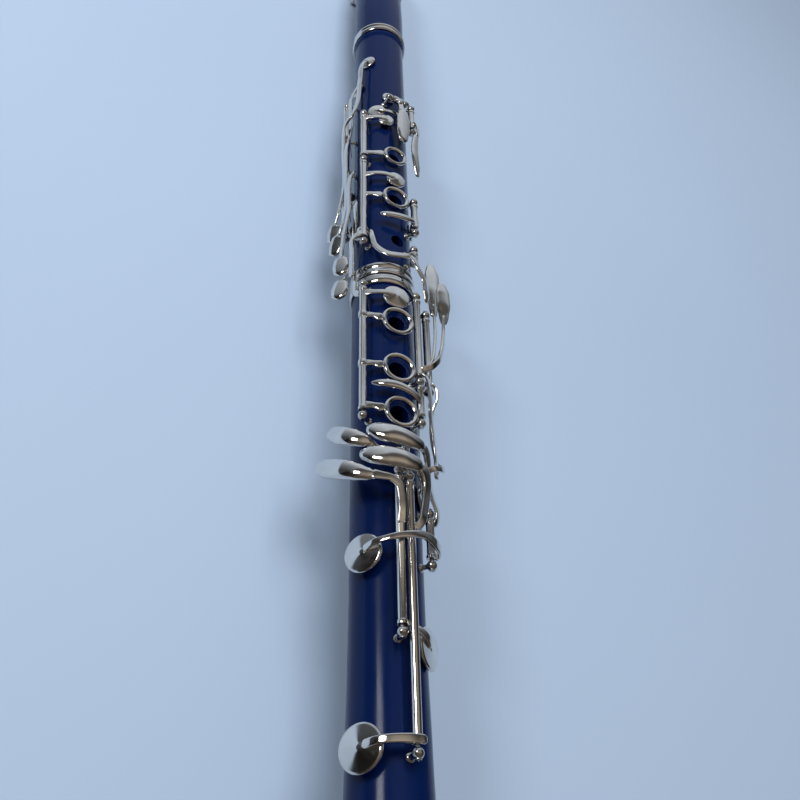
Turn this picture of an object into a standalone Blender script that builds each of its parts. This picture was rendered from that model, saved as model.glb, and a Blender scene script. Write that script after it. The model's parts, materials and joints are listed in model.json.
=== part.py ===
"""Seventeen-key, six-ring soprano clarinet in blue ABS with nickel keywork.

Metres, +Z up.  The bore axis lies along Y: mouthpiece tip at +Y, bell rim at -Y.
The finger holes face +Z and the thumb side faces -Z.  Places on the instrument are
given the way a repairer gives them: s = distance from the mouthpiece tip in mm,
a = angle round the bore in degrees (0 = tone-hole side, positive towards +X),
r = distance from the bore axis in mm.
"""
import bpy
import bmesh
from math import sin, cos, radians, pi
from mathutils import Vector, Matrix

# ---------------------------------------------------------------- driving sizes (mm)
LENGTH = 667.0            # tip to bell rim
RIM_R = 39.5              # bell rim radius
S_BARREL = 73.0           # mouthpiece / barrel joint
S_UPPER = 138.0           # barrel / upper joint
S_LOWER = 334.0           # upper joint / lower joint
S_BELL = 559.0            # lower joint / bell
BORE_R = 7.4
TENON_R = 11.0
CORK_R0, CORK_R1 = 11.3, 11.9
SOCKET_R = 12.2
UPPER_R = 13.6            # upper joint outer radius
LOWER_R = 13.9            # lower joint outer radius, most of its length
FOOT_R = 14.85            # lower joint outer radius at the bell end
GAP = 0.3                 # air between neighbouring pieces
TUBE_R, TUBE_BORE, ROD_R = 1.65, 1.0, 0.65
BALL_R = 2.0
SIDES = 20                # facets round the body
T_SIDES = 6               # facets round a hinge tube

COL = bpy.data.collections.new("clarinet")
HELP = bpy.data.collections.new("helpers")


def clear_scene():
    for o in list(bpy.data.objects):
        bpy.data.objects.remove(o, do_unlink=True)
    bpy.context.scene.collection.children.link(COL)
    bpy.context.scene.collection.children.link(HELP)


def P(s, a=0.0, r=0.0):
    """Point in metres from the repairer's coordinates."""
    a = radians(a)
    return Vector((r * sin(a), LENGTH / 2 - s, RIM_R + r * cos(a))) / 1000.0


def N(a):
    """Unit vector straight out of the body at angle a."""
    a = radians(a)
    return Vector((sin(a), 0.0, cos(a)))


DOWN = Vector((0, -1, 0))     # towards the bell


def body_r(s):
    """Outer radius of the body in mm at s."""
    if s < S_LOWER:
        return UPPER_R
    if s < 490:
        return LOWER_R
    return LOWER_R + (FOOT_R - LOWER_R) * min(1.0, (s - 490) / (S_BELL - 490))


# ---------------------------------------------------------------- materials
MATS = {}


def material(name, colour, rough, metal, coat=0.0):
    m = bpy.data.materials.new(name)
    m.use_nodes = True
    b = m.node_tree.nodes["Principled BSDF"]
    b.inputs["Base Color"].default_value = (*colour, 1.0)
    b.inputs["Roughness"].default_value = rough
    b.inputs["Metallic"].default_value = metal
    b.inputs["Coat Weight"].default_value = coat
    m.diffuse_color = (*colour, 1.0)
    MATS[name] = m


LOOKS = {
    "blue_abs": ((0.010, 0.020, 0.085), 0.18, 0.0, 0.3),
    "nickel": ((0.72, 0.71, 0.68), 0.12, 1.0, 0.0),
    "steel": ((0.45, 0.45, 0.46), 0.30, 1.0, 0.0),
    "black_resin": ((0.012, 0.012, 0.013), 0.22, 0.0, 0.2),
    "cane": ((0.72, 0.55, 0.28), 0.60, 0.0, 0.0),
    "cork": ((0.50, 0.32, 0.18), 0.85, 0.0, 0.0),
    "pad_skin": ((0.035, 0.028, 0.024), 0.70, 0.0, 0.0),
}

# ---------------------------------------------------------------- shape tools


def put(bm, name="h"):
    bmesh.ops.recalc_face_normals(bm, faces=bm.faces)
    if bm.calc_volume(signed=True) < 0:
        bmesh.ops.reverse_faces(bm, faces=bm.faces)
    me = bpy.data.meshes.new(name)
    bm.to_mesh(me)
    bm.free()
    o = bpy.data.objects.new(name, me)
    HELP.objects.link(o)
    return o


def aim(p, axis):
    """Matrix taking local +Z to axis at point p, with local X kept level where it can be."""
    z = axis.normalized()
    x = Vector((0, 1, 0)) if abs(z.y) < 0.9 else Vector((1, 0, 0))
    y = z.cross(x).normalized()
    x = y.cross(z)
    return Matrix.Translation(p) @ Matrix((x, y, z)).transposed().to_4x4()


def rod(p0, p1, r0, r1=None, n=T_SIDES):
    bm = bmesh.new()
    d = p1 - p0
    bmesh.ops.create_cone(bm, cap_ends=True, segments=n, radius1=r0 / 1000,
                          radius2=(r0 if r1 is None else r1) / 1000, depth=d.length)
    bm.transform(aim((p0 + p1) / 2, d) @ Matrix.Rotation(0.13, 4, "Z"))
    return put(bm)


def ball(p, r, u=6, v=4, axis=None):
    bm = bmesh.new()
    bmesh.ops.create_uvsphere(bm, u_segments=u, v_segments=v, radius=r / 1000)
    bm.transform(aim(p, axis or Vector((0, 0, 1))) @ Matrix.Rotation(0.21, 4, "Z"))
    return put(bm)


def box(p, size, axis=None):
    """Block centred on p; size in mm as (along bore, across, up axis)."""
    bm = bmesh.new()
    bmesh.ops.create_cube(bm, size=1.0)
    bmesh.ops.scale(bm, vec=Vector(size) / 1000, verts=bm.verts)
    bm.transform(aim(p, axis or Vector((0, 0, 1))))
    return put(bm)


def spun(profile, p, axis, n):
    """Profile [(radius, height)] in mm spun round axis at p; open ends must lie on the axis, or the loop closes."""
    bm = bmesh.new()
    vs = [bm.verts.new((r / 1000, 0, h / 1000)) for r, h in profile]
    es = [bm.edges.new((vs[i], vs[i + 1])) for i in range(len(vs) - 1)]
    if profile[0][0] > 1e-6:
        es.append(bm.edges.new((vs[-1], vs[0])))
    bmesh.ops.spin(bm, geom=vs + es, axis=(0, 0, 1), cent=(0, 0, 0), steps=n,
                   angle=2 * pi, use_duplicate=False)
    bmesh.ops.remove_doubles(bm, verts=bm.verts, dist=1e-6)
    bm.transform(aim(p, axis))
    return put(bm)


def turned(profile, n=SIDES):
    """Body piece turned on the bore axis with a Screw modifier: profile [(radius, s)] in mm, a closed loop."""
    me = bpy.data.meshes.new("profile")
    co = [(r / 1000, (LENGTH / 2 - s) / 1000, 0) for r, s in profile]
    k = len(co)
    me.from_pydata(co, [(i, (i + 1) % k) for i in range(k)], [])
    o = bpy.data.objects.new("turned", me)
    HELP.objects.link(o)
    o.location = (0, 0, RIM_R / 1000)
    m = o.modifiers.new("screw", "SCREW")
    m.axis = "Y"
    m.steps = m.render_steps = n
    m.use_merge_vertices = True
    m.merge_threshold = 0.00001
    m.use_normal_calculate = True
    return baked(o)


def baked(o):
    bpy.context.view_layer.update()
    dg = bpy.context.evaluated_depsgraph_get()
    me = bpy.data.meshes.new_from_object(o.evaluated_get(dg))
    me.transform(o.matrix_world)
    bm = bmesh.new()
    bm.from_mesh(me)
    bmesh.ops.remove_doubles(bm, verts=bm.verts, dist=1e-6)
    bpy.data.objects.remove(o, do_unlink=True)
    return put(bm)


def loft(sections):
    """Skin through rings of points, capped at both ends."""
    bm = bmesh.new()
    rings = [[bm.verts.new(p) for p in ring] for ring in sections]
    k = len(rings[0])
    for a, b in zip(rings, rings[1:]):
        for i in range(k):
            bm.faces.new((a[i], a[(i + 1) % k], b[(i + 1) % k], b[i]))
    bm.faces.new(rings[0])
    bm.faces.new(list(reversed(rings[-1])))
    return put(bm)


FLAT = ((-1, -0.7), (-0.8, -1), (0.8, -1), (1, -0.7), (0.8, 1), (-0.8, 1))
STRAP = ((-1, -1), (1, -1), (1, 1), (-1, 1))
DOME = ((-1, -0.2), (-0.62, -1), (0.62, -1), (1, -0.2), (0.62, 0.72), (0, 1), (-0.62, 0.72))


def arm(pts, w, t, sect=STRAP, up=None):
    """Forged key arm or touch through (s, a, r) points; w and t are full width and thickness in mm."""
    ps = [P(*p) for p in pts]
    k = len(ps)
    w = [w] * k if not isinstance(w, (list, tuple)) else w
    t = [t] * k if not isinstance(t, (list, tuple)) else t
    out = []
    for i, p in enumerate(ps):
        d = (ps[min(i + 1, k - 1)] - ps[max(i - 1, 0)]).normalized()
        n = N(pts[i][1]) if up is None else up
        side = d.cross(n).normalized()
        n = side.cross(d).normalized()
        out.append([p + side * (u * w[i] / 2000) + n * (v * t[i] / 2000) for u, v in sect])
    return loft(out)


def tube(s0, s1, a, r, rad=TUBE_R):
    return rod(P(s0, a, r), P(s1, a, r), rad)


def bore(s0, s1, a, r):
    return rod(P(s0 - 1.2, a, r), P(s1 + 1.2, a, r), TUBE_BORE)


def post(s, a, r, base=None):
    """Pillar: foot flange, waisted stem and ball head on the hinge line."""
    b = (body_r(s) if base is None else base) + GAP
    foot = P(s, a, b)
    h = r - b
    prof = [(0, 0), (1.75, 0), (1.75, 0.5), (0.95, 1.2), (1.1, h), (0, h)]
    return [spun(prof, foot, N(a), 6), ball(P(s, a, r), BALL_R, axis=N(a))]


def cup(s, a, lift, R, h=1.5, pad=True, n=12):
    """Pad cup, a shallow cone; lift = air between pad and tone hole."""
    b = body_r(s) + GAP + lift
    p = P(s, a, b)
    q = 0.86 * R
    if pad:
        prof = [(0, 1.0 + h), (1.2, 0.85 + h), (R * 0.93, 1.3), (R, 0.6), (q, 0.6), (q, 0), (0, 0)]
    else:
        prof = [(0, 1.0 + h), (1.2, 0.85 + h), (R * 0.93, 2.1), (R, 0.9), (0, 0.9)]
    return spun(prof, p, N(a), n)


def cup_top(s, lift, h=1.5):
    return body_r(s) + GAP + lift + 1.0 + h


def ring(s, a, r, R, w=1.9, t=1.5, n=14):
    """Finger ring, rounded on top, r = radius of its mid plane."""
    i = R - w
    prof = [(i, -t / 2), (R, -t / 2), (R - w * 0.15, t / 2), (i + w * 0.15, t / 2)]
    return spun(prof, P(s, a, r), N(a), n)


def finish(name, mat, adds, cuts=(), origin=None):
    """Unite, cut, name, colour and place one solid with its origin on its joint."""
    base = adds[0]
    for o in list(adds[1:]) + list(cuts):
        m = base.modifiers.new("b", "BOOLEAN")
        m.operation = "DIFFERENCE" if o in cuts else "UNION"
        m.solver = "EXACT"
        m.object = o
        o.hide_render = True
        o.display_type = "WIRE"
    bpy.context.view_layer.update()
    dg = bpy.context.evaluated_depsgraph_get()
    me = bpy.data.meshes.new_from_object(base.evaluated_get(dg))
    for o in list(adds) + list(cuts):
        bpy.data.objects.remove(o, do_unlink=True)
    origin = origin or Vector((0, 0, RIM_R / 1000))
    me.transform(Matrix.Translation(-origin))
    me.materials.clear()
    me.materials.append(MATS[mat])
    for f in me.polygons:
        f.use_smooth = True
        f.material_index = 0
    me.set_sharp_from_angle(angle=radians(35))
    me.name = name
    ob = bpy.data.objects.new(name, me)
    ob.location = origin
    COL.objects.link(ob)
    return ob


# ---------------------------------------------------------------- tone holes
# (s, a, hole radius) for every hole of each joint
UPPER_HOLES = [
    (153.0, 180, 1.6), (168.8, -51, 2.1), (188.0, -80, 2.2), (202.5, -8, 2.2),
    (214.9, -32, 2.4), (225.0, -15, 2.1), (226.0, 180, 3.6), (252.7, 0, 3.2),
    (270.5, 0.5, 2.7), (283.9, -0.5, 3.7), (291.0, 68, 2.5), (309.7, 7.5, 3.3),
    (303.4, -67, 2.4), (265.0, -127, 2.3), (290.0, -127, 2.4), (207.5, 150, 2.2),
]
LOWER_HOLES = [
    (349.7, -4.7, 3.4), (363.9, -3.5, 3.9), (389.6, -3.2, 4.1), (411.9, -2, 4.1),
    (403.0, 66, 2.6), (446.0, 46, 3.2), (474.4, -53, 4.8), (506.8, 40, 4.9), (542.7, -54, 5.3),
]
CHIMNEYS = [(226.0, 180, 4.6, 1.3), (252.7, 0, 3.9, 1.2), (283.9, -0.5, 4.6, 1.3),
            (363.9, -3.5, 4.7, 1.3), (389.6, -3.2, 4.9, 1.3), (411.9, -2, 4.9, 1.3)]


def hole(s, a, r):
    return rod(P(s, a, 3.0), P(s, a, 24.0), r, n=8)


def chimney(s, a, R, h):
    return rod(P(s, a, 10.5), P(s, a, body_r(s) + h), R + 0.5, R, n=10)


# ---------------------------------------------------------------- body
def mouthpiece():
    def sec(s, hw, top, bot, e):
        pts = []
        for i in range(20):
            t = 2 * pi * (i + 0.5) / 20
            u = abs(cos(t)) ** e * (1 if cos(t) >= 0 else -1)
            v = abs(sin(t)) ** e * (1 if sin(t) >= 0 else -1)
            mid = min(0.0, (top + bot) / 2)
            z = mid + v * (top - mid) if v > 0 else max(bot, mid + v * max(hw, 1.0))
            pts.append(P(s, 0, 0) + Vector((u * hw, 0, z)) / 1000)
        return pts
    body = loft([sec(0, 6.2, -7.6, -9.0, 0.6), sec(3, 6.9, -6.0, -9.0, 0.7), sec(12, 8.2, -1.6, -9.0, 0.8),
                 sec(24, 9.9, 4.4, -9.0, 0.85), sec(36, 11.4, 10.2, -9.0, 0.9), sec(42, 12.0, 12.0, -9.2, 1.0),
                 sec(52, 12.5, 12.5, -9.4, 1.0), sec(68.0, 12.9, 12.9, -9.6, 1.0), sec(70.6, 13.2, 13.2, -12.9, 1.0),
                 sec(S_BARREL - GAP, 13.7, 13.7, -13.7, 1.0)])
    tenon = rod(P(S_BARREL - 3, 0, 0), P(89, 0, 0), TENON_R - 0.35, n=SIDES)
    bore_c = rod(P(38, 0, 0), P(92, 0, 0), BORE_R, n=20)
    throat = loft([[P(42 - k * 34, 0, 0) + Vector((x * (5.6 - k * 0.6), 0, z)) / 1000
                    for x, z in ((-1, -14), (1, -14), (1, 3.5 - k * 10.9), (-1, 3.5 - k * 10.9))] for k in (0, 1)])
    finish("mouthpiece", "black_resin", [body, tenon], [bore_c, throat])


def reed():
    def sec(s, hw, t0, crown):
        z0 = -9.0 - GAP - (0.6 if s > 60 else 0.4 if s > 40 else 0)
        pts = [Vector((-hw, 0, z0)), Vector((hw, 0, z0)), Vector((hw, 0, z0 - t0)),
               Vector((hw * 0.45, 0, z0 - t0 - crown)), Vector((-hw * 0.45, 0, z0 - t0 - crown)), Vector((-hw, 0, z0 - t0))]
        return [P(s, 0, 0) + p / 1000 for p in pts]
    finish("reed", "cane", [loft([sec(0.8, 6.0, 0.35, 0.05), sec(10, 6.4, 0.6, 0.35), sec(22, 6.3, 1.0, 0.8),
                                  sec(31, 6.1, 1.2, 1.2), sec(33, 6.1, 1.5, 1.2), sec(67.4, 5.8, 1.3, 1.1)])])


def ligature():
    band = turned([(13.2, 40), (14.0, 40), (14.25, 66), (13.45, 66)], 24)
    lug = [box(P(53, 0, 0) + Vector((x, 0, -15.6)) / 1000, (24, 2.6, 5.6)) for x in (-4.0, 4.0)]
    slot = box(P(53, 0, 0) + Vector((0, 0, -15.0)) / 1000, (44, 3.6, 9))
    holes = [rod(P(s, 0, 0) + Vector((-9, 0, -16.6)) / 1000, P(s, 0, 0) + Vector((9, 0, -16.6)) / 1000, 1.55, n=8)
             for s in (45.0, 61.0)]
    finish("ligature", "nickel", [band] + lug, [slot] + holes)
    for s, name in ((45.0, "ligature_screw_upper"), (61.0, "ligature_screw_lower")):
        c = P(s, 0, 0) + Vector((0, 0, -16.6)) / 1000
        shank = rod(c + Vector((-6.2, 0, 0)) / 1000, c + Vector((6.6, 0, 0)) / 1000, 1.2)
        head = spun([(0, 0), (2.2, 0), (3.3, 1.2), (3.3, 4.6), (2.4, 5.6), (0, 5.6)],
                    c + Vector((-5.7, 0, 0)) / 1000, Vector((-1, 0, 0)), 12)
        finish(name, "nickel", [head, shank])


def barrel():
    finish("barrel", "blue_abs", [turned([
        (SOCKET_R, S_BARREL), (14.0, S_BARREL), (14.0, 79), (13.9, 81), (14.25, 105), (14.2, 124), (14.0, 131), (14.0, S_UPPER - GAP),
        (SOCKET_R, S_UPPER - GAP), (SOCKET_R, 121.5), (BORE_R, 121.5), (BORE_R, 90.3), (SOCKET_R, 90.3)])])
    finish("barrel_ring_upper", "nickel", [turned([(14.3, 73.2), (14.9, 73.2), (15.15, 74.2), (15.15, 77.6), (14.8, 78.6), (14.3, 78.6)])])
    finish("barrel_ring_lower", "nickel", [turned([
        (14.3, 131.6), (14.8, 131.6), (15.15, 132.6), (14.85, 134.4), (15.35, 136.0), (15.2, 137.6), (14.3, 137.6)])])


def joints():
    up = turned([
        (BORE_R, 122), (TENON_R, 122), (TENON_R, S_UPPER), (14.3, S_UPPER), (14.5, 139.2), (UPPER_R, 142), (UPPER_R, 240),
        (UPPER_R, 325.6), (UPPER_R, S_LOWER - GAP), (TENON_R, S_LOWER - GAP), (TENON_R, 351), (BORE_R, 351)])
    finish("upper_joint", "blue_abs", [up] + [chimney(*c) for c in CHIMNEYS if c[0] < S_LOWER],
           [hole(*h) for h in UPPER_HOLES])
    finish("upper_joint_ring", "nickel", [turned([(13.9, 326.5), (14.5, 326.5), (15.1, 327.6), (14.8, 330), (15.2, 331.8), (15.0, 333.4), (13.9, 333.4)])])
    low = turned([
        (SOCKET_R, S_LOWER), (LOWER_R, S_LOWER), (LOWER_R, 420), (LOWER_R, 490), (14.25, 515), (FOOT_R - 0.1, 552), (FOOT_R + 0.2, S_BELL),
        (12.7, S_BELL), (12.7, 576), (11.2, 576), (9.6, 540), (7.9, 490), (BORE_R, 440), (BORE_R, 352), (SOCKET_R, 352)])
    finish("lower_joint", "blue_abs", [low] + [chimney(*c) for c in CHIMNEYS if c[0] > S_LOWER],
           [hole(*h) for h in LOWER_HOLES])
    finish("lower_joint_ring", "nickel", [turned([(14.2, 334.2), (15.0, 334.2), (15.3, 335.2), (15.3, 338.0), (14.7, 339.2), (14.2, 339.2)])])


def corks():
    for name, s0, s1, r0, r1 in (("mouthpiece_cork", 74.5, 87, 11.0, 11.9), ("upper_joint_top_cork", 123.5, 136, CORK_R0, CORK_R1),
                                 ("upper_joint_bottom_cork", 336, 349.5, CORK_R0, CORK_R1), ("lower_joint_cork", 561, 574.5, 13.15, 13.7)):
        finish(name, "cork", [turned([(r0, s0), (r1 - 0.2, s0), (r1, s0 + 1.5), (r1, s1 - 1.5), (r1 - 0.2, s1), (r0, s1)], 24)])


def bell():
    finish("bell", "blue_abs", [turned([
        (14.15, S_BELL + GAP), (16.6, S_BELL + GAP), (16.6, 566), (16.1, 568), (16.2, 580), (17.0, 595), (19.0, 612), (22.0, 628),
        (26.2, 642), (31.5, 653), (36.2, 660), (38.0, 664), (38.0, LENGTH), (35.3, LENGTH), (31.0, 659), (25.5, 650), (21.0, 639),
        (17.0, 624), (14.0, 606), (12.0, 588), (11.3, 577), (14.15, 577)], 24)])
    finish("bell_socket_ring", "nickel", [turned([(17.1, S_BELL + 0.5), (17.6, S_BELL + 0.5), (18.0, 560.8), (18.0, 564), (17.5, 565.6), (17.1, 565.6)])])
    finish("bell_rim_ring", "nickel", [turned([(38.7, 664.6), (RIM_R, 665.0), (RIM_R, LENGTH), (38.7, LENGTH)], 24)])


def thumb_rest():
    plate = box(P(381, 180, LOWER_R + GAP + 0.9), (20, 11, 1.8))
    hook = arm([(388, 180, 15.2), (389, 180, 19), (388, 180, 24), (384, 180, 28)], [11, 10, 9.5, 7], [3.0, 2.6, 2.4, 2.2], FLAT, up=Vector((0, 1, 0)))
    finish("thumb_rest", "nickel", [plate, hook])


# ---------------------------------------------------------------- hinges: pillars joined by their steel rod
HINGE_LINES = {
    # name: (angle, radius, pillar places along the bore)
    "upper_ring_hinge": (-53, 18.2, (219.2, 256.0, 314.6)),
    "side_key_hinge": (-100, 18.3, (198.0, 228.0, 254.6, 278.0, 301.0)),
    "gsharp_hinge": (41, 18.2, (203.6, 223.6)),
    "sliver_hinge": (33, 18.6, (281.4, 302.6)),
    "csharp_hinge": (27, 18.6, (316.2, 324.4)),
    "thumb_ring_hinge": (128, 17.8, (202.0, 237.0)),
    "lower_ring_hinge": (-52, 19.0, (342.8, 414.4)),
    "left_lever_hinge_inner": (27.5, 18.6, (345.6, 393.6, 414.6)),
    "left_lever_hinge_outer": (44, 20.2, (353.0, 396.0)),
    "left_lever_hinge_back": (96, 18.6, (353.0, 392.0)),
    "e_b_hinge": (1.5, 20.0, (443.6, 545.0)),
    "f_c_hinge": (-10.5, 20.0, (441.6, 505.8)),
    "fsharp_hinge": (38, 18.6, (454.8, 476.0)),
    "aflat_hinge": (2.0, 17.2, (422.6, 438.8)),
}


def hinges():
    for name, (a, r, places) in HINGE_LINES.items():
        bits = [rod(P(places[0] - 1.2, a, r), P(places[-1] + 1.2, a, r), ROD_R)]
        for s in places:
            bits += post(s, a, r)
        finish(name, "steel", bits)
    for name, s, a, r, half in (("register_hinge", 190.0, 180, 17.6, 5.2), ("a_key_hinge", 209.4, 3, 19.4, 4.9)):
        t = N(a + 90)
        c = P(s, a, r)
        bits = [rod(c - t * (half + 1.0) / 1000, c + t * (half + 1.0) / 1000, ROD_R)]
        for k in (-1, 1):
            top = c + t * (k * half) / 1000
            low = (body_r(s) ** 2 - (half + 1.5) ** 2) ** 0.5 + 0.55
            foot = P(s, a, low + 0.95) + t * (k * half) / 1000
            bits += [rod(foot, top, 1.5, 1.0), ball(top, 1.7)]
        finish(name, "steel", bits)


# ---------------------------------------------------------------- keys
def key(name, line, span, adds, extra_cuts=()):
    a, r, _ = HINGE_LINES[line]
    s0, s1 = span
    adds = [tube(s0, s1, a, r)] + adds
    finish(name, "nickel", adds, list(extra_cuts) + [bore(s0, s1, a, r)], P((s0 + s1) / 2, a, r))


def upper_keys():
    ut = cup_top
    # first finger ring with its vent cup
    key("first_ring_key", "upper_ring_hinge", (221.8, 253.4), [
        ring(252.7, 0, 17.0, 6.2),
        arm([(251.5, -53, 18.4), (252.0, -38, 17.4), (252.6, -19, 16.9)], [3.0, 2.3, 4.0], 1.3),
        cup(225.0, -15, 2.0, 4.0, 0.9),
        arm([(223.6, -53, 18.4), (223.8, -38, 17.8), (224.2, -24, 17.6), (225.0, -14, 17.5)], [3.0, 2.4, 2.4, 2.6], 1.3)])
    # second finger ring, vent cup and bridge lever
    key("second_ring_key", "upper_ring_hinge", (258.6, 312.0), [
        ring(283.9, -0.5, 17.0, 6.85),
        arm([(282.5, -53, 18.4), (283.0, -38, 17.4), (283.9, -23, 17.0)], [3.0, 2.3, 4.2], 1.3),
        cup(270.5, 0.5, 2.0, 4.85, 1.1),
        arm([(268.4, -53, 18.4), (268.6, -34, 17.9), (269.2, -16, 17.8), (270.2, -3, 17.8)], [3.2, 2.4, 2.4, 2.8], 1.3),
        arm([(309.6, -53, 19.2), (313.0, -66, 20.8), (322.0, -66, 21.1), (337.5, -66, 21.2)], [3.6, 3.0, 2.8, 3.0], 1.2)])
    # throat A
    c = P(209.4, 3, 19.4)
    t = N(93)
    finish("a_key", "nickel", [
        rod(c - t * 0.0028, c + t * 0.0028, TUBE_R),
        arm([(202.6, -5, 15.5), (205.0, -2, 18.0), (209.4, 3, 20.0), (215.0, 6, 20.9), (219.5, 8.5, 21.2)], [2.2, 2.6, 3.2, 3.0, 4.2], [1.3, 1.3, 1.6, 1.3, 1.3]),
        arm([(218.0, 8.0, 21.2), (220.5, 9.4, 21.3), (226.0, 9.6, 21.2), (234.0, 9.8, 20.8), (240.5, 9.8, 20.2), (243.2, 9.8, 19.8)],
            [3.4, 6.0, 7.4, 7.6, 5.6, 2.0], [1.2, 1.4, 1.5, 1.6, 1.5, 1.0], DOME),
        cup(202.5, -6, 0.0, 3.7, 0.7)],
        [rod(c - t * 0.0045, c + t * 0.0045, TUBE_BORE)], c)
    # throat G sharp
    key("gsharp_key", "gsharp_hinge", (206.2, 221.0), [
        cup(214.9, -32, 0.0, 4.6, 1.0),
        arm([(216.6, 41, 17.6), (217.0, 25, 17.1), (217.0, 5, 16.6), (216.4, -16, 16.4), (215.0, -30, 15.9)], [3.4, 2.4, 2.4, 2.4, 2.4], [1.4, 1.1, 1.1, 1.1, 1.2]),
        arm([(215.6, 41, 19.2), (219.0, 41, 20.8), (223.6, 40.5, 21.6), (230.0, 38, 21.4)], [3.0, 3.0, 3.2, 3.6], 1.3),
        arm([(228.0, 38.5, 21.4), (233.0, 36, 21.0), (240.0, 34, 20.7), (247.0, 35, 20.6), (253.0, 39, 20.4), (259.4, 43, 20.0)],
            [2.8, 4.4, 5.4, 5.4, 4.8, 2.4], [1.2, 1.3, 1.4, 1.5, 1.5, 1.0], DOME, up=N(22))])
    # side keys, upper trill first
    key("side_key_1", "side_key_hinge", (200.6, 225.4), [
        cup(168.8, -51, 0.0, 4.3, 1.0),
        arm([(221.5, -100, 18.8), (221.8, -92, 21.0), (221.4, -80, 21.4), (219.0, -70, 21.0), (212.0, -64, 20.0), (190.0, -59, 19.2), (174.0, -55, 18.2), (168.8, -51, 16.2)],
            [3.4, 3.0, 2.6, 2.6, 2.8, 2.8, 2.8, 2.4], 1.2),
        arm([(222.6, -88, 21.2), (225.5, -88, 21.4), (240.0, -88, 21.5), (278.0, -88, 21.5), (284.0, -92.5, 22.0), (292.5, -103, 23.0)], [2.6, 2.4, 2.4, 2.4, 2.4, 2.8], 1.2),
        arm([(291.0, -102, 22.9), (293.0, -103.6, 23.1), (297.0, -106, 23.3), (300.5, -107.5, 23.4), (302.0, -108, 23.3)], [3.2, 6.8, 8.2, 6.6, 3.2], [1.3, 1.7, 1.9, 1.7, 1.2], DOME, up=N(-52))])
    key("side_key_2", "side_key_hinge", (230.6, 252.0), [
        cup(188.0, -80, 0.0, 4.2, 0.9),
        arm([(234.0, -100, 18.6), (234.0, -88, 18.8), (228.0, -83.5, 18.5), (196.0, -82.5, 18.0), (188.0, -80, 16.0)], [3.2, 2.8, 2.6, 2.6, 2.6], 1.2),
        arm([(234.4, -97, 18.9), (234.8, -88, 19.2), (235.4, -82, 19.6), (237.6, -79.4, 20.6), (242.0, -79, 21.4), (262.0, -79, 21.5), (291.0, -79, 21.5), (297.0, -81, 21.8), (304.6, -91, 22.7)], [3.0, 2.6, 2.4, 2.4, 2.4, 2.4, 2.4, 2.4, 2.8], 1.2),
        arm([(303.4, -90, 22.6), (305.2, -92, 22.8), (309.4, -95.6, 23.0), (313.0, -98, 23.2), (314.6, -98.8, 23.1)], [3.2, 6.2, 7.6, 6.4, 3.2], [1.3, 1.7, 1.9, 1.7, 1.2], DOME, up=N(-50))])
    key("side_key_3", "side_key_hinge", (257.2, 275.4), [
        cup(265.0, -127, 0.0, 4.2, 0.9),
        arm([(264.0, -100, 18.2), (264.4, -112, 18.0), (265.0, -125, 16.2)], [3.2, 2.4, 2.4], 1.2),
        arm([(259.4, -98, 18.5), (259.8, -90, 18.7), (260.6, -80, 18.8), (262.0, -73, 18.8), (264.4, -69.5, 19.6), (268.0, -70.4, 21.2), (272.0, -71.5, 21.5), (295.0, -72, 21.7), (302.0, -74, 22.3), (310.0, -76.5, 22.8), (323.0, -80, 23.0)], [3.0, 2.6, 2.4, 2.4, 2.4, 2.4, 2.4, 2.4, 2.4, 2.4, 2.8], 1.2),
        arm([(321.6, -80, 22.9), (323.6, -80, 23.1), (328.0, -80, 23.2), (332.0, -80.5, 23.3), (333.8, -81, 23.2)], [3.0, 7.0, 8.2, 6.6, 3.0], [1.3, 1.7, 1.9, 1.7, 1.2], DOME, up=N(-48))])
    key("side_key_4", "side_key_hinge", (280.6, 298.4), [
        cup(290.0, -127, 0.0, 4.2, 0.9),
        arm([(289.0, -100, 18.2), (289.4, -112, 18.0), (290.0, -125, 16.2)], [3.2, 2.4, 2.4], 1.2),
        arm([(282.6, -98, 18.2), (283.0, -90, 18.2), (283.8, -78, 18.0), (285.0, -70, 18.4), (287.0, -64.4, 19.4), (290.4, -63.4, 20.1), (296.0, -63.4, 19.9), (301.0, -66, 18.9), (307.0, -71, 18.2), (316.0, -76, 18.3), (330.0, -78.5, 19.3), (336.0, -81, 21.6)], [3.0, 2.6, 2.4, 2.4, 2.4, 2.4, 2.4, 2.4, 2.4, 2.4, 2.4, 2.8], 1.2),
        arm([(334.8, -81.2, 21.5), (337.0, -82, 22.1), (341.5, -83, 22.8), (345.6, -83.5, 23.2), (347.4, -84, 23.2)], [3.0, 7.0, 8.4, 6.8, 3.2], [1.3, 1.7, 1.9, 1.7, 1.2], DOME, up=N(-48))])
    # sliver key
    key("sliver_key", "sliver_hinge", (284.0, 300.0), [
        cup(291.0, 68, 0.0, 4.4, 0.9),
        arm([(291.0, 33, 18.6), (291.0, 50, 18.4), (291.0, 66, 16.2)], [3.2, 2.6, 2.6], 1.2),
        arm([(295.6, 33, 18.8), (297.4, 24, 19.6), (298.6, 8, 19.4), (299.0, -8, 19.0), (298.6, -20, 18.6), (297.8, -27, 18.2)],
            [3.2, 2.8, 3.4, 3.6, 3.2, 1.6], [1.5, 1.4, 1.4, 1.4, 1.4, 1.0], DOME)])
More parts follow.
